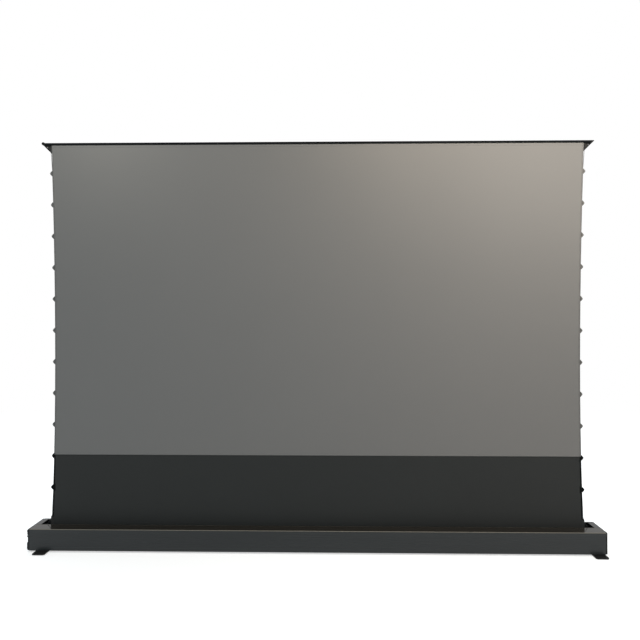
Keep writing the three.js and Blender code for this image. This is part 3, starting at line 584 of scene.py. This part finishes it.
def fabric_swell(x, z):
    """How far the surface stands forward of its plane: faint pull lines that fade in from the tabs."""
    inset = edge_half(z) - abs(x)
    pull = PULL_HEIGHT * math.exp(-max(inset, 0) / PULL_REACH) * (1 - between_holds(z))
    across = math.sin(WAVE_ACROSS * x + WAVE_ACROSS_START)
    wave = WAVE_HEIGHT * (1 + across * math.sin(WAVE_UP * z + WAVE_UP_START))
    calm_top = min(1.0, max(0.0, (RAIL_UNDERSIDE - z) / TOP_CALM))
    calm_foot = min(1.0, max(0.0, (z - HOUSING_TOP) / FOOT_CALM))
    return (pull + wave) * calm_top * calm_foot


# Sheets

PANEL_COLUMNS = 108
ROW_STEP = 0.0105
EDGE_CROWDING = 0.5


def panel_x(share, z):
    """Place across the sheet, with the columns closer together near the edges."""
    return edge_half(z) * share * (1 + EDGE_CROWDING - EDGE_CROWDING * share * share)


def closed_sheet(name, rows, columns, front, back, looks):
    """Two layers joined round their rim: front(i, j) and back(i, j) give the points."""
    points = []
    for layer in (front, back):
        for i in range(rows + 1):
            for j in range(columns + 1):
                points.append(layer(i, j))
    width = columns + 1
    size = (rows + 1) * width
    faces = []
    kinds = []
    for i in range(rows):
        for j in range(columns):
            a = i * width + j
            b, c, d = a + 1, a + width + 1, a + width
            faces.append((a, b, c, d))
            kinds.append(0)
            faces.append((size + a, size + d, size + c, size + b))
            kinds.append(1)
    rim = list(range(width))
    rim += [i * width + columns for i in range(1, rows + 1)]
    rim += [rows * width + j for j in range(columns - 1, -1, -1)]
    rim += [i * width for i in range(rows - 1, 0, -1)]
    for a, b in zip(rim, rim[1:] + rim[:1]):
        faces.append((b, a, size + a, size + b))
        kinds.append(1)
    return mesh_object(name, points, faces, looks, kinds)


def screen_panel(name, z_low, z_high, face_look):
    """A cloth of the screen, its face to the viewer and a black coat behind."""
    rows = round((z_high - z_low) / ROW_STEP)

    def point(i, j, y):
        z = lerp(z_low, z_high, i / rows)
        x = panel_x(2 * j / PANEL_COLUMNS - 1, z)
        return (x, y - fabric_swell(x, z), z)

    return closed_sheet(
        name, rows, PANEL_COLUMNS,
        lambda i, j: point(i, j, FABRIC_FRONT),
        lambda i, j: point(i, j, FABRIC_BACK),
        [face_look, back_look])


# Share of a band's width, and share of how far it stands out
BAND_PROFILE = [(0.0, 0.0), (0.14, 0.75), (0.3, 1.0), (0.7, 1.0), (0.86, 0.75), (1.0, 0.0)]
BAND_PROUD_BACK = 0.0001
BAND_MARGIN = 0.004


def band(name, z_low, z_high, proud_front, look):
    """A narrow strip across the sheet with rounded long edges, such as a weld or a hem."""
    section = [(t, rise * BAND_PROUD_BACK + FABRIC_THICKNESS) for t, rise in BAND_PROFILE]
    section += [(t, -rise * proud_front) for t, rise in reversed(BAND_PROFILE)]
    points = []
    for j in range(PANEL_COLUMNS + 1):
        for t, offset in section:
            z = lerp(z_low, z_high, t)
            x = panel_x(2 * j / PANEL_COLUMNS - 1, z)
            if j in (0, PANEL_COLUMNS):
                x -= math.copysign(BAND_MARGIN, x)
            points.append((x, FABRIC_FRONT + offset - fabric_swell(x, z), z))
    return lofted(name, points, len(section), look)


TAPE_WIDTH = 0.0052
TAPE_LIFT = 0.00028
TAPE_BACK_LIFT = 0.00012
TAPE_OVERHANG = 0.0011
TAPE_BEVEL = 0.0006


def edge_tape(name, side, z_low, z_high, look):
    """Folded tape that closes the raw edge of the sheet, front and back."""
    sign = side_sign(side)
    rows = 2 * round((z_high - z_low) / ROW_STEP)
    back = FABRIC_THICKNESS + TAPE_BACK_LIFT
    section = [
        (-TAPE_WIDTH, 0.0), (-TAPE_WIDTH + TAPE_BEVEL, -TAPE_LIFT), (-TAPE_BEVEL, -TAPE_LIFT),
        (TAPE_OVERHANG, 0.0), (TAPE_OVERHANG, FABRIC_THICKNESS),
        (-TAPE_BEVEL, back), (-TAPE_WIDTH + TAPE_BEVEL, back), (-TAPE_WIDTH, FABRIC_THICKNESS),
    ]
    points = []
    for i in range(rows + 1):
        z = lerp(z_low, z_high, i / rows)
        for out, offset in section:
            x = edge_half(z) + out
            points.append((sign * x, FABRIC_FRONT + offset - fabric_swell(x, z), z))
    return lofted(name, points, len(section), look, flip=sign < 0)


# Tabs

TAB_ROOT = -0.0085
TAB_LAYER = 0.00042
TAB_FLARE = 1.05
TAB_TIP_SHARE = 0.2
TAB_END_SHARE = 0.5
TAB_ROUNDING_START = 0.8
TAB_ROUNDING_SHARE = 0.2
TAB_BORDER = 0.0072
TAB_LEAST_OPENING_SHARE = 0.2
TAB_OPENING = (0.0012, 0.0030)
TAB_ROOT_COLUMNS = 5
TAB_OPENING_COLUMNS = 5
TAB_TIP_COLUMNS = 7
TAB_BORDER_ROWS = 3
TAB_MIDDLE_ROWS = 6
SLEEVE_GAP = 0.00035
SLEEVE_SPREAD = 0.0024
TAB_TIP_Y = -0.00255
TAB_TIP_EASE = 1.5
CORD_RADIUS = 0.0009
CORD_OFFSET = 0.0019


def tab_half_height(out):
    """Half the height of a tab at a distance outside the sheet's edge, with a rounded tip."""
    if out <= 0:
        return TAB_HEIGHT / 2
    share = out / TAB_REACH
    tip = TAB_HEIGHT * TAB_TIP_SHARE / 2
    narrowing = tip + (TAB_HEIGHT / 2 - tip) * (1 - share) ** TAB_FLARE
    past = max(0.0, (share - TAB_ROUNDING_START) / TAB_ROUNDING_SHARE)
    rounding = math.sqrt(max(0.0, 1 - past ** 2))
    return narrowing * lerp(TAB_END_SHARE, 1.0, rounding)


def tab_layer_y(out, front):
    """The two layers lie on the sheet, part round the cord and meet again at the tip."""
    flat = FABRIC_FRONT - TAB_LAYER if front else FABRIC_BACK + TAB_LAYER / 2
    tip = min(1.0, max(0.0, out / TAB_REACH))
    free = lerp(flat, TAB_TIP_Y, tip ** TAB_TIP_EASE)
    sleeve = CORD_RADIUS + SLEEVE_GAP
    round_cord = CORD_Y - sleeve if front else CORD_Y + sleeve
    return lerp(free, round_cord, math.exp(-((out - CORD_OFFSET) / SLEEVE_SPREAD) ** 2))


def tab_columns():
    """Distances from the sheet's edge, with one at each side of the opening."""
    return [
        *steps(TAB_ROOT, TAB_OPENING[0], TAB_ROOT_COLUMNS), *steps(*TAB_OPENING, TAB_OPENING_COLUMNS),
        *steps(TAB_OPENING[1], TAB_REACH, TAB_TIP_COLUMNS), TAB_REACH,
    ]


def tab_rows(half):
    """Heights across a tab: a border, the opening and a border."""
    inner = max(half - TAB_BORDER, half * TAB_LEAST_OPENING_SHARE)
    return [
        *steps(-half, -inner, TAB_BORDER_ROWS), *steps(-inner, inner, TAB_MIDDLE_ROWS),
        *steps(inner, half, TAB_BORDER_ROWS), half,
    ]


def add_tab(sign, level, pierced, points, faces):
    """Adds one tab: a strip folded over the cord, pierced or not beside the sheet's edge."""
    start = len(points)
    outs = tab_columns()
    path = [(out, True) for out in outs] + [(out, False) for out in reversed(outs[:-1])]
    for out, front in path:
        for rise in tab_rows(tab_half_height(out)):
            points.append((sign * (fabric_half(level) + out), tab_layer_y(out, front), level + rise))
    rows = 2 * TAB_BORDER_ROWS + TAB_MIDDLE_ROWS
    width = rows + 1
    for k in range(len(path) - 1):
        middle = (path[k][0] + path[k + 1][0]) / 2
        for r in range(rows):
            in_opening = pierced and TAB_BORDER_ROWS <= r < TAB_BORDER_ROWS + TAB_MIDDLE_ROWS
            if in_opening and TAB_OPENING[0] < middle < TAB_OPENING[1]:
                continue
            a = start + k * width + r
            face = (a, a + 1, a + width + 1, a + width)
            faces.append(face if sign > 0 else tuple(reversed(face)))


def tabs(name, side, levels, look, pierced):
    """The tabs of one cloth on one side, as one piece."""
    points = []
    faces = []
    for level in levels:
        add_tab(side_sign(side), level, pierced, points, faces)
    obj = mesh_object(name, points, faces, [look])
    layer = obj.modifiers.new("cloth_layer", "SOLIDIFY")
    layer.thickness = TAB_LAYER
    layer.offset = 0
    apply_modifiers(obj)
    obj.data.polygons.foreach_set("use_smooth", [True] * len(obj.data.polygons))
    return obj


# Corners of the drop's foot

CORNER_TOP = 0.142
CORNER_SHOULDER = 0.131
CORNER_FOOT = 0.058
CORNER_REACH = 0.0070
CORNER_ROOT = 0.0060
CORNER_LIFT = 0.00005
CORNER_THICKNESS = 0.0003
CORNER_ROWS = 24
CORNER_COLUMNS = 8


def drop_corner(side):
    """The drop's foot, which widens past the drawn-in edge to the full width of the cloth."""
    sign = side_sign(side)

    def point(i, j, behind):
        z = lerp(CORNER_FOOT, CORNER_TOP, i / CORNER_ROWS)
        reach = CORNER_REACH * min(1.0, (CORNER_TOP - z) / (CORNER_TOP - CORNER_SHOULDER))
        x = edge_half(z) + lerp(-CORNER_ROOT, reach, j / CORNER_COLUMNS)
        return (sign * x, FABRIC_FRONT - CORNER_LIFT - fabric_swell(x, z) + behind, z)

    layers = [lambda i, j: point(i, j, 0.0), lambda i, j: point(i, j, CORNER_THICKNESS)]
    if sign < 0:
        layers.reverse()
    return closed_sheet(f"{side}_drop_corner", CORNER_ROWS, CORNER_COLUMNS, *layers, [drop_look, back_look])


# The whole screen surface

SEAM_LAP = 0.0075
SEAM_LAP_PROUD = 0.00035
WELD_HEIGHT = 0.0032
WELD_PROUD = 0.0004
TOP_HEM = 0.0105
TOP_HEM_PROUD = 0.00015
RAIL_CLEARANCE = 0.0004


def held_by_root(obj):
    """Holds a piece on the housing and gives it a mesh of its own."""
    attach(obj, "root")
    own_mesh(obj)


def build_surface():
    """The grey cloth and the black drop below it, with their trim and tabs."""
    grey = screen_panel("grey_screen_cloth", SEAM_Z, FABRIC_TOP, grey_look)
    black = screen_panel("black_drop_cloth", ROLLER_Z, SEAM_Z, drop_look)
    top = RAIL_UNDERSIDE - RAIL_CLEARANCE
    grey_extras = [
        band("seam_lap", SEAM_Z, SEAM_Z + SEAM_LAP, SEAM_LAP_PROUD, grey_look),
        band("top_hem", RAIL_UNDERSIDE - TOP_HEM, top, TOP_HEM_PROUD, grey_look),
    ]
    black_extras = [band("seam_weld", SEAM_Z - WELD_HEIGHT, SEAM_Z, WELD_PROUD, drop_look)]
    grey_levels = TAB_LEVELS[:-BLACK_TABS]
    black_levels = TAB_LEVELS[-BLACK_TABS:]
    for side in ("left", "right"):
        grey_extras += [
            edge_tape(f"{side}_grey_edge_tape", side, SEAM_Z, top, tape_look),
            tabs(f"{side}_grey_tabs", side, grey_levels, tab_look, pierced=True),
        ]
        black_extras += [
            edge_tape(f"{side}_black_edge_tape", side, CORNER_SHOULDER, SEAM_Z, black_tape_look),
            tabs(f"{side}_black_tabs", side, black_levels, black_tape_look, pierced=False),
            drop_corner(side),
        ]
    for cloth, extras, slot in ((grey, grey_extras, "screen_grey"), (black, black_extras, "drop_black")):
        for obj in [cloth, *extras]:
            held_by_root(obj)
    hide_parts("screen_fabric")
    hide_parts("black_drop")


# Roller wrap

WRAP_LAYER = 0.00035
WRAP_TURNS = 1.5
WRAP_STEPS = 72
WRAP_COLUMNS = 24
WRAP_SEAT_GAP = 0.0001
WRAP_FRONT_GAP = 0.0004


def build_roller_wrap():
    """The black cloth's last turns on the roller, leaving it upwards behind the axis."""
    outer = FABRIC_FRONT - ROLLER_Y - WRAP_FRONT_GAP
    inner = ROLLER_RADIUS + WRAP_SEAT_GAP

    def point(i, j, lift):
        share = i / WRAP_STEPS
        turn = -2 * math.pi * WRAP_TURNS * (1 - share)
        radius = lerp(inner, outer - WRAP_LAYER, share) + lift
        x = BOTTOM_HALF * (1 - 2 * j / WRAP_COLUMNS)
        return (x, ROLLER_Y + radius * math.cos(turn), ROLLER_Z + radius * math.sin(turn))

    wrap = closed_sheet(
        "drop_on_roller", WRAP_STEPS, WRAP_COLUMNS,
        lambda i, j: point(i, j, WRAP_LAYER),
        lambda i, j: point(i, j, 0.0),
        [drop_look, back_look])
    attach(wrap, "roller")
    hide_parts("fabric_wrap")


# Tension cords

CORD_SIDES = 10
CORD_KINK = 0.007
CORD_RUN_STEP = 0.045


def cord_route(side):
    """From the rail's end through the tabs and down to the winding lane beside the roller."""
    stops = [(TOP_HALF + CORD_ANCHOR_OFFSET, CORD_Y, RAIL_UNDERSIDE - CORD_ANCHOR_DROP)]
    for level in TAB_LEVELS:
        x = fabric_half(level) + CORD_OFFSET
        stops += [(x, CORD_Y, level + CORD_KINK), (x, CORD_Y, level - CORD_KINK)]
    stops.append((BOTTOM_HALF + CORD_OFFSET, CORD_Y, HOUSING_TOP + CORD_FLARE_HEIGHT))
    stops.append((BOTTOM_HALF + CORD_FLARE_WIDTH, CORD_Y, HOUSING_TOP))
    stops.append((BOTTOM_HALF + CORD_FLARE_WIDTH, CORD_WIND_Y, ROLLER_Z))
    route = [Vector(stops[0])]
    for a, b in zip(stops, stops[1:]):
        a, b = Vector(a), Vector(b)
        count = max(1, round((b - a).length / CORD_RUN_STEP))
        route += [a.lerp(b, k / count) for k in range(1, count + 1)]
    return [Vector((side_sign(side) * p.x, p.y, p.z)) for p in route]


def tube(name, route, radius, sides, look):
    """A round cord along a route of points."""
    points = []
    for i, centre in enumerate(route):
        before = route[max(0, i - 1)]
        after = route[min(len(route) - 1, i + 1)]
        along = (after - before).normalized()
        across = along.cross(Vector((0, 1, 0))).normalized()
        third = along.cross(across)
        for k in range(sides):
            turn = 2 * math.pi * k / sides
            points.append(centre + radius * (math.cos(turn) * across + math.sin(turn) * third))
    return lofted(name, points, sides, look)


def build_cords():
    """The braided cord along each edge of the screen."""
    for side in ("left", "right"):
        cord = tube(f"{side}_braided_cord", cord_route(side), CORD_RADIUS, CORD_SIDES, cord_look)
        held_by_root(cord)
        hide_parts(f"{side}_tension_cord")


# Screws and the indicator's lens

# Share of the radius, share of the height, and whether the ring is six-sided
SCREW_SECTION = [
    (1.0, 0.0, False), (1.0, 0.3, False), (0.93, 0.62, False), (0.74, 0.9, False), (0.56, 1.0, False),
    (0.42, 1.0, True), (0.40, 0.92, True), (0.40, 0.3, True),
]
LENS_SECTION = [
    (1.0, -1.0, False), (1.0, 0.0, False), (0.96, 0.45, False), (0.8, 0.78, False), (0.5, 0.95, False),
    (0.2, 1.0, False),
]
TURNED_SIDES = 24
UPRIGHT = 0.9


def axes_about(axis):
    """An axis's direction and two directions square to it."""
    along = Vector(axis).normalized()
    other = Vector((0, 0, 1)) if abs(along.z) < UPRIGHT else Vector((1, 0, 0))
    across = along.cross(other).normalized()
    return along, across, along.cross(across)


def add_turned(section, centre, axis, radius, height, points, faces):
    """Adds rings round an axis, closed at both ends. The six-sided rings make a socket."""
    along, across, third = axes_about(axis)
    start = len(points)
    for share, rise, six_sided in section:
        for k in range(TURNED_SIDES):
            turn = 2 * math.pi * k / TURNED_SIDES
            reach = radius * share
            if six_sided:
                reach /= math.cos((turn + math.pi / 6) % (math.pi / 3) - math.pi / 6)
            spot = Vector(centre) + along * (height * rise)
            points.append(spot + reach * (math.cos(turn) * across + math.sin(turn) * third))
    faces += skin_faces(start, len(section), TURNED_SIDES)


def turned_piece(name, points, faces, look, body):
    """A small piece with round sides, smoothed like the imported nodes."""
    obj = mesh_object(name, points, faces, [look])
    smooth(obj)
    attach(obj, body)


def screws(name, places, axis, radius, height, look, body):
    """Socket heads on one face, as one piece."""
    points, faces = [], []
    for place in places:
        add_turned(SCREW_SECTION, place, axis, radius, height, points, faces)
    turned_piece(name, points, faces, look, body)


# Places of an end cap's screws along Y and Z, and of a rail end's along X and Y
CAP_SCREWS = [(-0.034, 0.0885), (-0.030, 0.0165), (0.060, 0.0885), (0.060, 0.0165)]
CAP_SCREW_RADIUS = 0.0036
CAP_SCREW_HEIGHT = 0.0018
GUSSET_SCREW = (1.1688, 0.0020, 1.7388)
GUSSET_SCREW_RADIUS = 0.0032
GUSSET_SCREW_HEIGHT = 0.0022
RAIL_SCREWS = [(1.1600, 0.022), (1.1600, 0.044), (1.1485, 0.033)]
RAIL_SCREW_RADIUS = 0.0026
RAIL_SCREW_HEIGHT = 0.0006
REAR_SCREW_STEP = 0.30
REAR_SCREW_COUNT = 7
REAR_SCREW_LEVELS = (0.016, 0.088)


def build_screws():
    """Screws of the end caps, the gussets, the rail ends and the rear panel."""
    for side in ("left", "right"):
        sign = side_sign(side)
        screws(
            f"{side}_cap_screws", [(sign * HOUSING_HALF, y, z) for y, z in CAP_SCREWS],
            (sign, 0, 0), CAP_SCREW_RADIUS, CAP_SCREW_HEIGHT, dark_screw_look, "root")
        x, y, z = GUSSET_SCREW
        screws(
            f"{side}_cord_screw", [(sign * x, y, z)],
            (0, -1, 0), GUSSET_SCREW_RADIUS, GUSSET_SCREW_HEIGHT, nickel_screw_look, "lid")
        screws(
            f"{side}_rail_screws", [(sign * x, y, RAIL_TOP) for x, y in RAIL_SCREWS],
            (0, 0, 1), RAIL_SCREW_RADIUS, RAIL_SCREW_HEIGHT, coated_screw_look, "lid")
    middle = (REAR_SCREW_COUNT - 1) / 2
    heads = []
    for z in REAR_SCREW_LEVELS:
        heads += [((k - middle) * REAR_SCREW_STEP, HOUSING_REAR, z) for k in range(REAR_SCREW_COUNT)]
    screws(
        "rear_panel_screws", heads, (0, 1, 0), CAP_SCREW_RADIUS, CAP_SCREW_HEIGHT, dark_screw_look, "root")


LENS_CENTRE = (-1.2250, -0.0635, 0.0660)
LENS_RADIUS = 0.0026
LENS_HEIGHT = 0.0009


def build_indicator():
    """The infrared window below the switch."""
    points, faces = [], []
    add_turned(LENS_SECTION, LENS_CENTRE, (-1, 0, 0), LENS_RADIUS, LENS_HEIGHT, points, faces)
    turned_piece("indicator_lens", points, faces, lens_look, "root")


# Switch marks and inlet pins

ROCKER_PIVOT = (-1.221, -0.0595, 0.0835)
ROCKER_TILT = math.radians(9)
ROCKER_VALLEY = 0.0044
ROCKER_CREST = 0.0065
ROCKER_HALF = 0.0069
MARK_RISE = 0.00022
RING_RADIUS = 0.0016
RING_LINE = 0.00035
RING_STEPS = 28
BAR_LENGTH = 0.0034

PIN_SIZE = (0.0043, 0.0023)
PIN_ROOT_X = -1.2096
PIN_TIP_X = -1.2208
PIN_TIP_TAPER = 0.0008
PIN_TIP_SHARE = 0.6
PIN_PLACES = [(-0.0575, 0.018), (-0.0575, 0.032), (-0.0535, 0.025)]
PIN_STATIONS = [(PIN_ROOT_X, 1.0), (PIN_TIP_X + PIN_TIP_TAPER, 1.0), (PIN_TIP_X, PIN_TIP_SHARE)]


def flat_piece(name, points, faces, look, body):
    """A small piece with flat sides and sharp edges."""
    obj = mesh_object(name, points, faces, [look], smooth_faces=False)
    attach(obj, body)
    make_outward(obj)


def rocker_face(half):
    """Gives places on the rocker: half is 1 for its upper face and -1 for its lower one."""
    slope = math.atan2(ROCKER_CREST - ROCKER_VALLEY, ROCKER_HALF)
    middle = Vector((-(ROCKER_CREST + ROCKER_VALLEY) / 2, 0, half * ROCKER_HALF / 2))
    outwards = Vector((-math.cos(slope), 0, -half * math.sin(slope)))
    upwards = Vector((-half * math.sin(slope), 0, math.cos(slope)))

    def spot(u, v, rise):
        local = middle + outwards * rise + upwards * v + Vector((0, u, 0))
        return Vector(ROCKER_PIVOT) + Matrix.Rotation(-ROCKER_TILT, 3, "Y") @ local

    return spot


def build_rocker_marks():
    """The usual bar and ring of a mains switch."""
    points = []
    on_lower = rocker_face(-1)
    for k in range(RING_STEPS):
        turn = 2 * math.pi * k / RING_STEPS
        for out, lift in SQUARE:
            reach = RING_RADIUS + out * RING_LINE
            points.append(on_lower(reach * math.cos(turn), reach * math.sin(turn), lift * MARK_RISE))
    faces = skin_faces(0, RING_STEPS, len(SQUARE), looped=True)
    on_upper = rocker_face(1)
    start = len(points)
    for rise in (-MARK_RISE, MARK_RISE):
        for u, v in SQUARE:
            points.append(on_upper(u * RING_LINE, v * BAR_LENGTH / 2, rise))
    faces += skin_faces(start, 2, len(SQUARE))
    flat_piece("rocker_marks", points, faces, mark_look, "rocker")


def build_inlet_pins():
    """The three blades of the mains inlet."""
    points, faces = [], []
    for y, z in PIN_PLACES:
        start = len(points)
        for x, share in PIN_STATIONS:
            for u, v in SQUARE:
                points.append((x, y + u * share * PIN_SIZE[0] / 2, z + v * share * PIN_SIZE[1] / 2))
        faces += skin_faces(start, len(PIN_STATIONS), len(SQUARE))
    flat_piece("inlet_pins", points, faces, pin_look, "root")


# Stage, lamps and camera

FLOOR_SIZE = 60.0
FLOOR_COLOUR = (0.80, 0.80, 0.80)
FLOOR_ROUGHNESS = 0.9
FLOOR_GLOSS = 0.1
FLOOR_GLOW = 0.52
FADE_START = 2.2
FADE_END = 5.0
AMBIENT = (0.635, 0.695, 0.725)


def background_rays(tree):
    """1 for the rays that see the background: camera, glossy and transmission rays."""
    path = tree.nodes.new("ShaderNodeLightPath")
    seen = path.outputs["Is Camera Ray"]
    for ray in ("Is Glossy Ray", "Is Transmission Ray"):
        either = tree.nodes.new("ShaderNodeMath")
        either.operation = "MAXIMUM"
        tree.links.new(seen, either.inputs[0])
        tree.links.new(path.outputs[ray], either.inputs[1])
        seen = either.outputs["Value"]
    return seen


def build_stage():
    """A pale floor that keeps the object's shadow and turns plain white further out."""
    surface = Surface("studio_floor", FLOOR_COLOUR, FLOOR_ROUGHNESS, Specular_IOR_Level=FLOOR_GLOSS)
    surface.mottle(surface.noise(3), most=0.3, brightness=0.97)
    lit = surface.shader.outputs["BSDF"]
    glow = surface.node("ShaderNodeEmission", {"Strength": FLOOR_GLOW}).outputs["Emission"]
    near = surface.node("ShaderNodeAddShader", {0: lit, 1: glow}).outputs["Shader"]
    far = surface.node("ShaderNodeEmission").outputs["Emission"]
    distance = surface.node("ShaderNodeVectorMath", {0: surface.place}, operation="LENGTH").outputs["Value"]
    fade = surface.spread(distance, 0, 1, FADE_START, FADE_END)
    seen = surface.node("ShaderNodeMixShader", {0: fade, 1: near, 2: far}).outputs["Shader"]
    whole = surface.node("ShaderNodeMixShader", {0: background_rays(surface.tree), 1: lit, 2: seen})
    surface.link(whole.outputs["Shader"], surface.tree.nodes["Material Output"].inputs["Surface"])
    half = FLOOR_SIZE / 2
    corners = [(half * x, half * y, 0) for x, y in SQUARE]
    mesh_object("floor", corners, [(0, 1, 2, 3)], [surface.material], smooth_faces=False)


def build_world():
    """Even light from all round, with plain white wherever the background is seen."""
    world = bpy.data.worlds.new("studio")
    bpy.context.scene.world = world
    world.use_nodes = True
    tree = world.node_tree
    plain = tree.nodes["Background"]
    plain.inputs["Color"].default_value = (*AMBIENT, 1)
    plain.inputs["Strength"].default_value = 1.0
    white = tree.nodes.new("ShaderNodeBackground")
    white.inputs["Color"].default_value = (1, 1, 1, 1)
    mix = tree.nodes.new("ShaderNodeMixShader")
    tree.links.new(background_rays(tree), mix.inputs["Fac"])
    tree.links.new(plain.outputs["Background"], mix.inputs[1])
    tree.links.new(white.outputs["Background"], mix.inputs[2])
    tree.links.new(mix.outputs["Shader"], tree.nodes["World Output"].inputs["Surface"])


# Name, place, aim, size, watts, colour, and whether glossy surfaces show the lamp
LAMPS = [
    ("warm_key", (1.05, -0.95, 2.00), (0.95, 0.0, 1.68), 0.55, 17.0, (1.0, 0.88, 0.75), False),
    ("top_middle", (0.35, -0.55, 2.15), (0.35, 0.0, 1.65), 0.50, 3.0, (1.0, 0.82, 0.60), False),
    ("top_left", (-0.93, -0.45, 2.02), (-0.91, 0.0, 1.68), 0.40, 2.1, (1.0, 0.94, 0.82), False),
    ("right_edge", (1.50, -0.45, 1.50), (1.15, 0.0, 1.45), 0.30, 0.8, (1.0, 0.86, 0.72), False),
    ("right_glow", (2.0, -2.3, 0.40), (1.0, 0.0, 0.5), 1.0, 7.0, (1.0, 0.68, 0.45), True),
    ("rear_fill", (-1.4, 3.0, 2.6), (0.0, 0.0, 0.8), 2.0, 50.0, (0.95, 0.98, 1.0), False),
]


def build_lamps():
    """Soft round lamps, none of which the camera sees."""
    for name, place, aim, size, watts, colour, glossy in LAMPS:
        data = bpy.data.lights.new(name, "AREA")
        data.shape = "DISK"
        data.size = size
        data.energy = watts
        data.color = colour
        lamp = bpy.data.objects.new(name, data)
        lamp.location = place
        lamp.rotation_euler = (Vector(aim) - Vector(place)).to_track_quat("-Z", "Y").to_euler()
        lamp.visible_camera = False
        lamp.visible_glossy = glossy
        bpy.context.scene.collection.objects.link(lamp)


def build_camera():
    """A camera with the photograph's place and lens."""
    data = bpy.data.cameras.new("photo_camera")
    data.lens = CAMERA_LENS
    data.sensor_width = SENSOR_WIDTH
    camera = bpy.data.objects.new("photo_camera", data)
    camera.location = CAMERA_PLACE
    camera.rotation_euler = (math.radians(CAMERA_TILT), 0, math.radians(CAMERA_PAN))
    bpy.context.scene.collection.objects.link(camera)
    bpy.context.scene.camera = camera


build_camera()
build_world()
build_lamps()
build_stage()
finish_nodes()
build_surface()
build_cords()
build_roller_wrap()
build_screws()
build_indicator()
build_rocker_marks()
build_inlet_pins()

bpy.context.scene.view_settings.view_transform = "Standard"
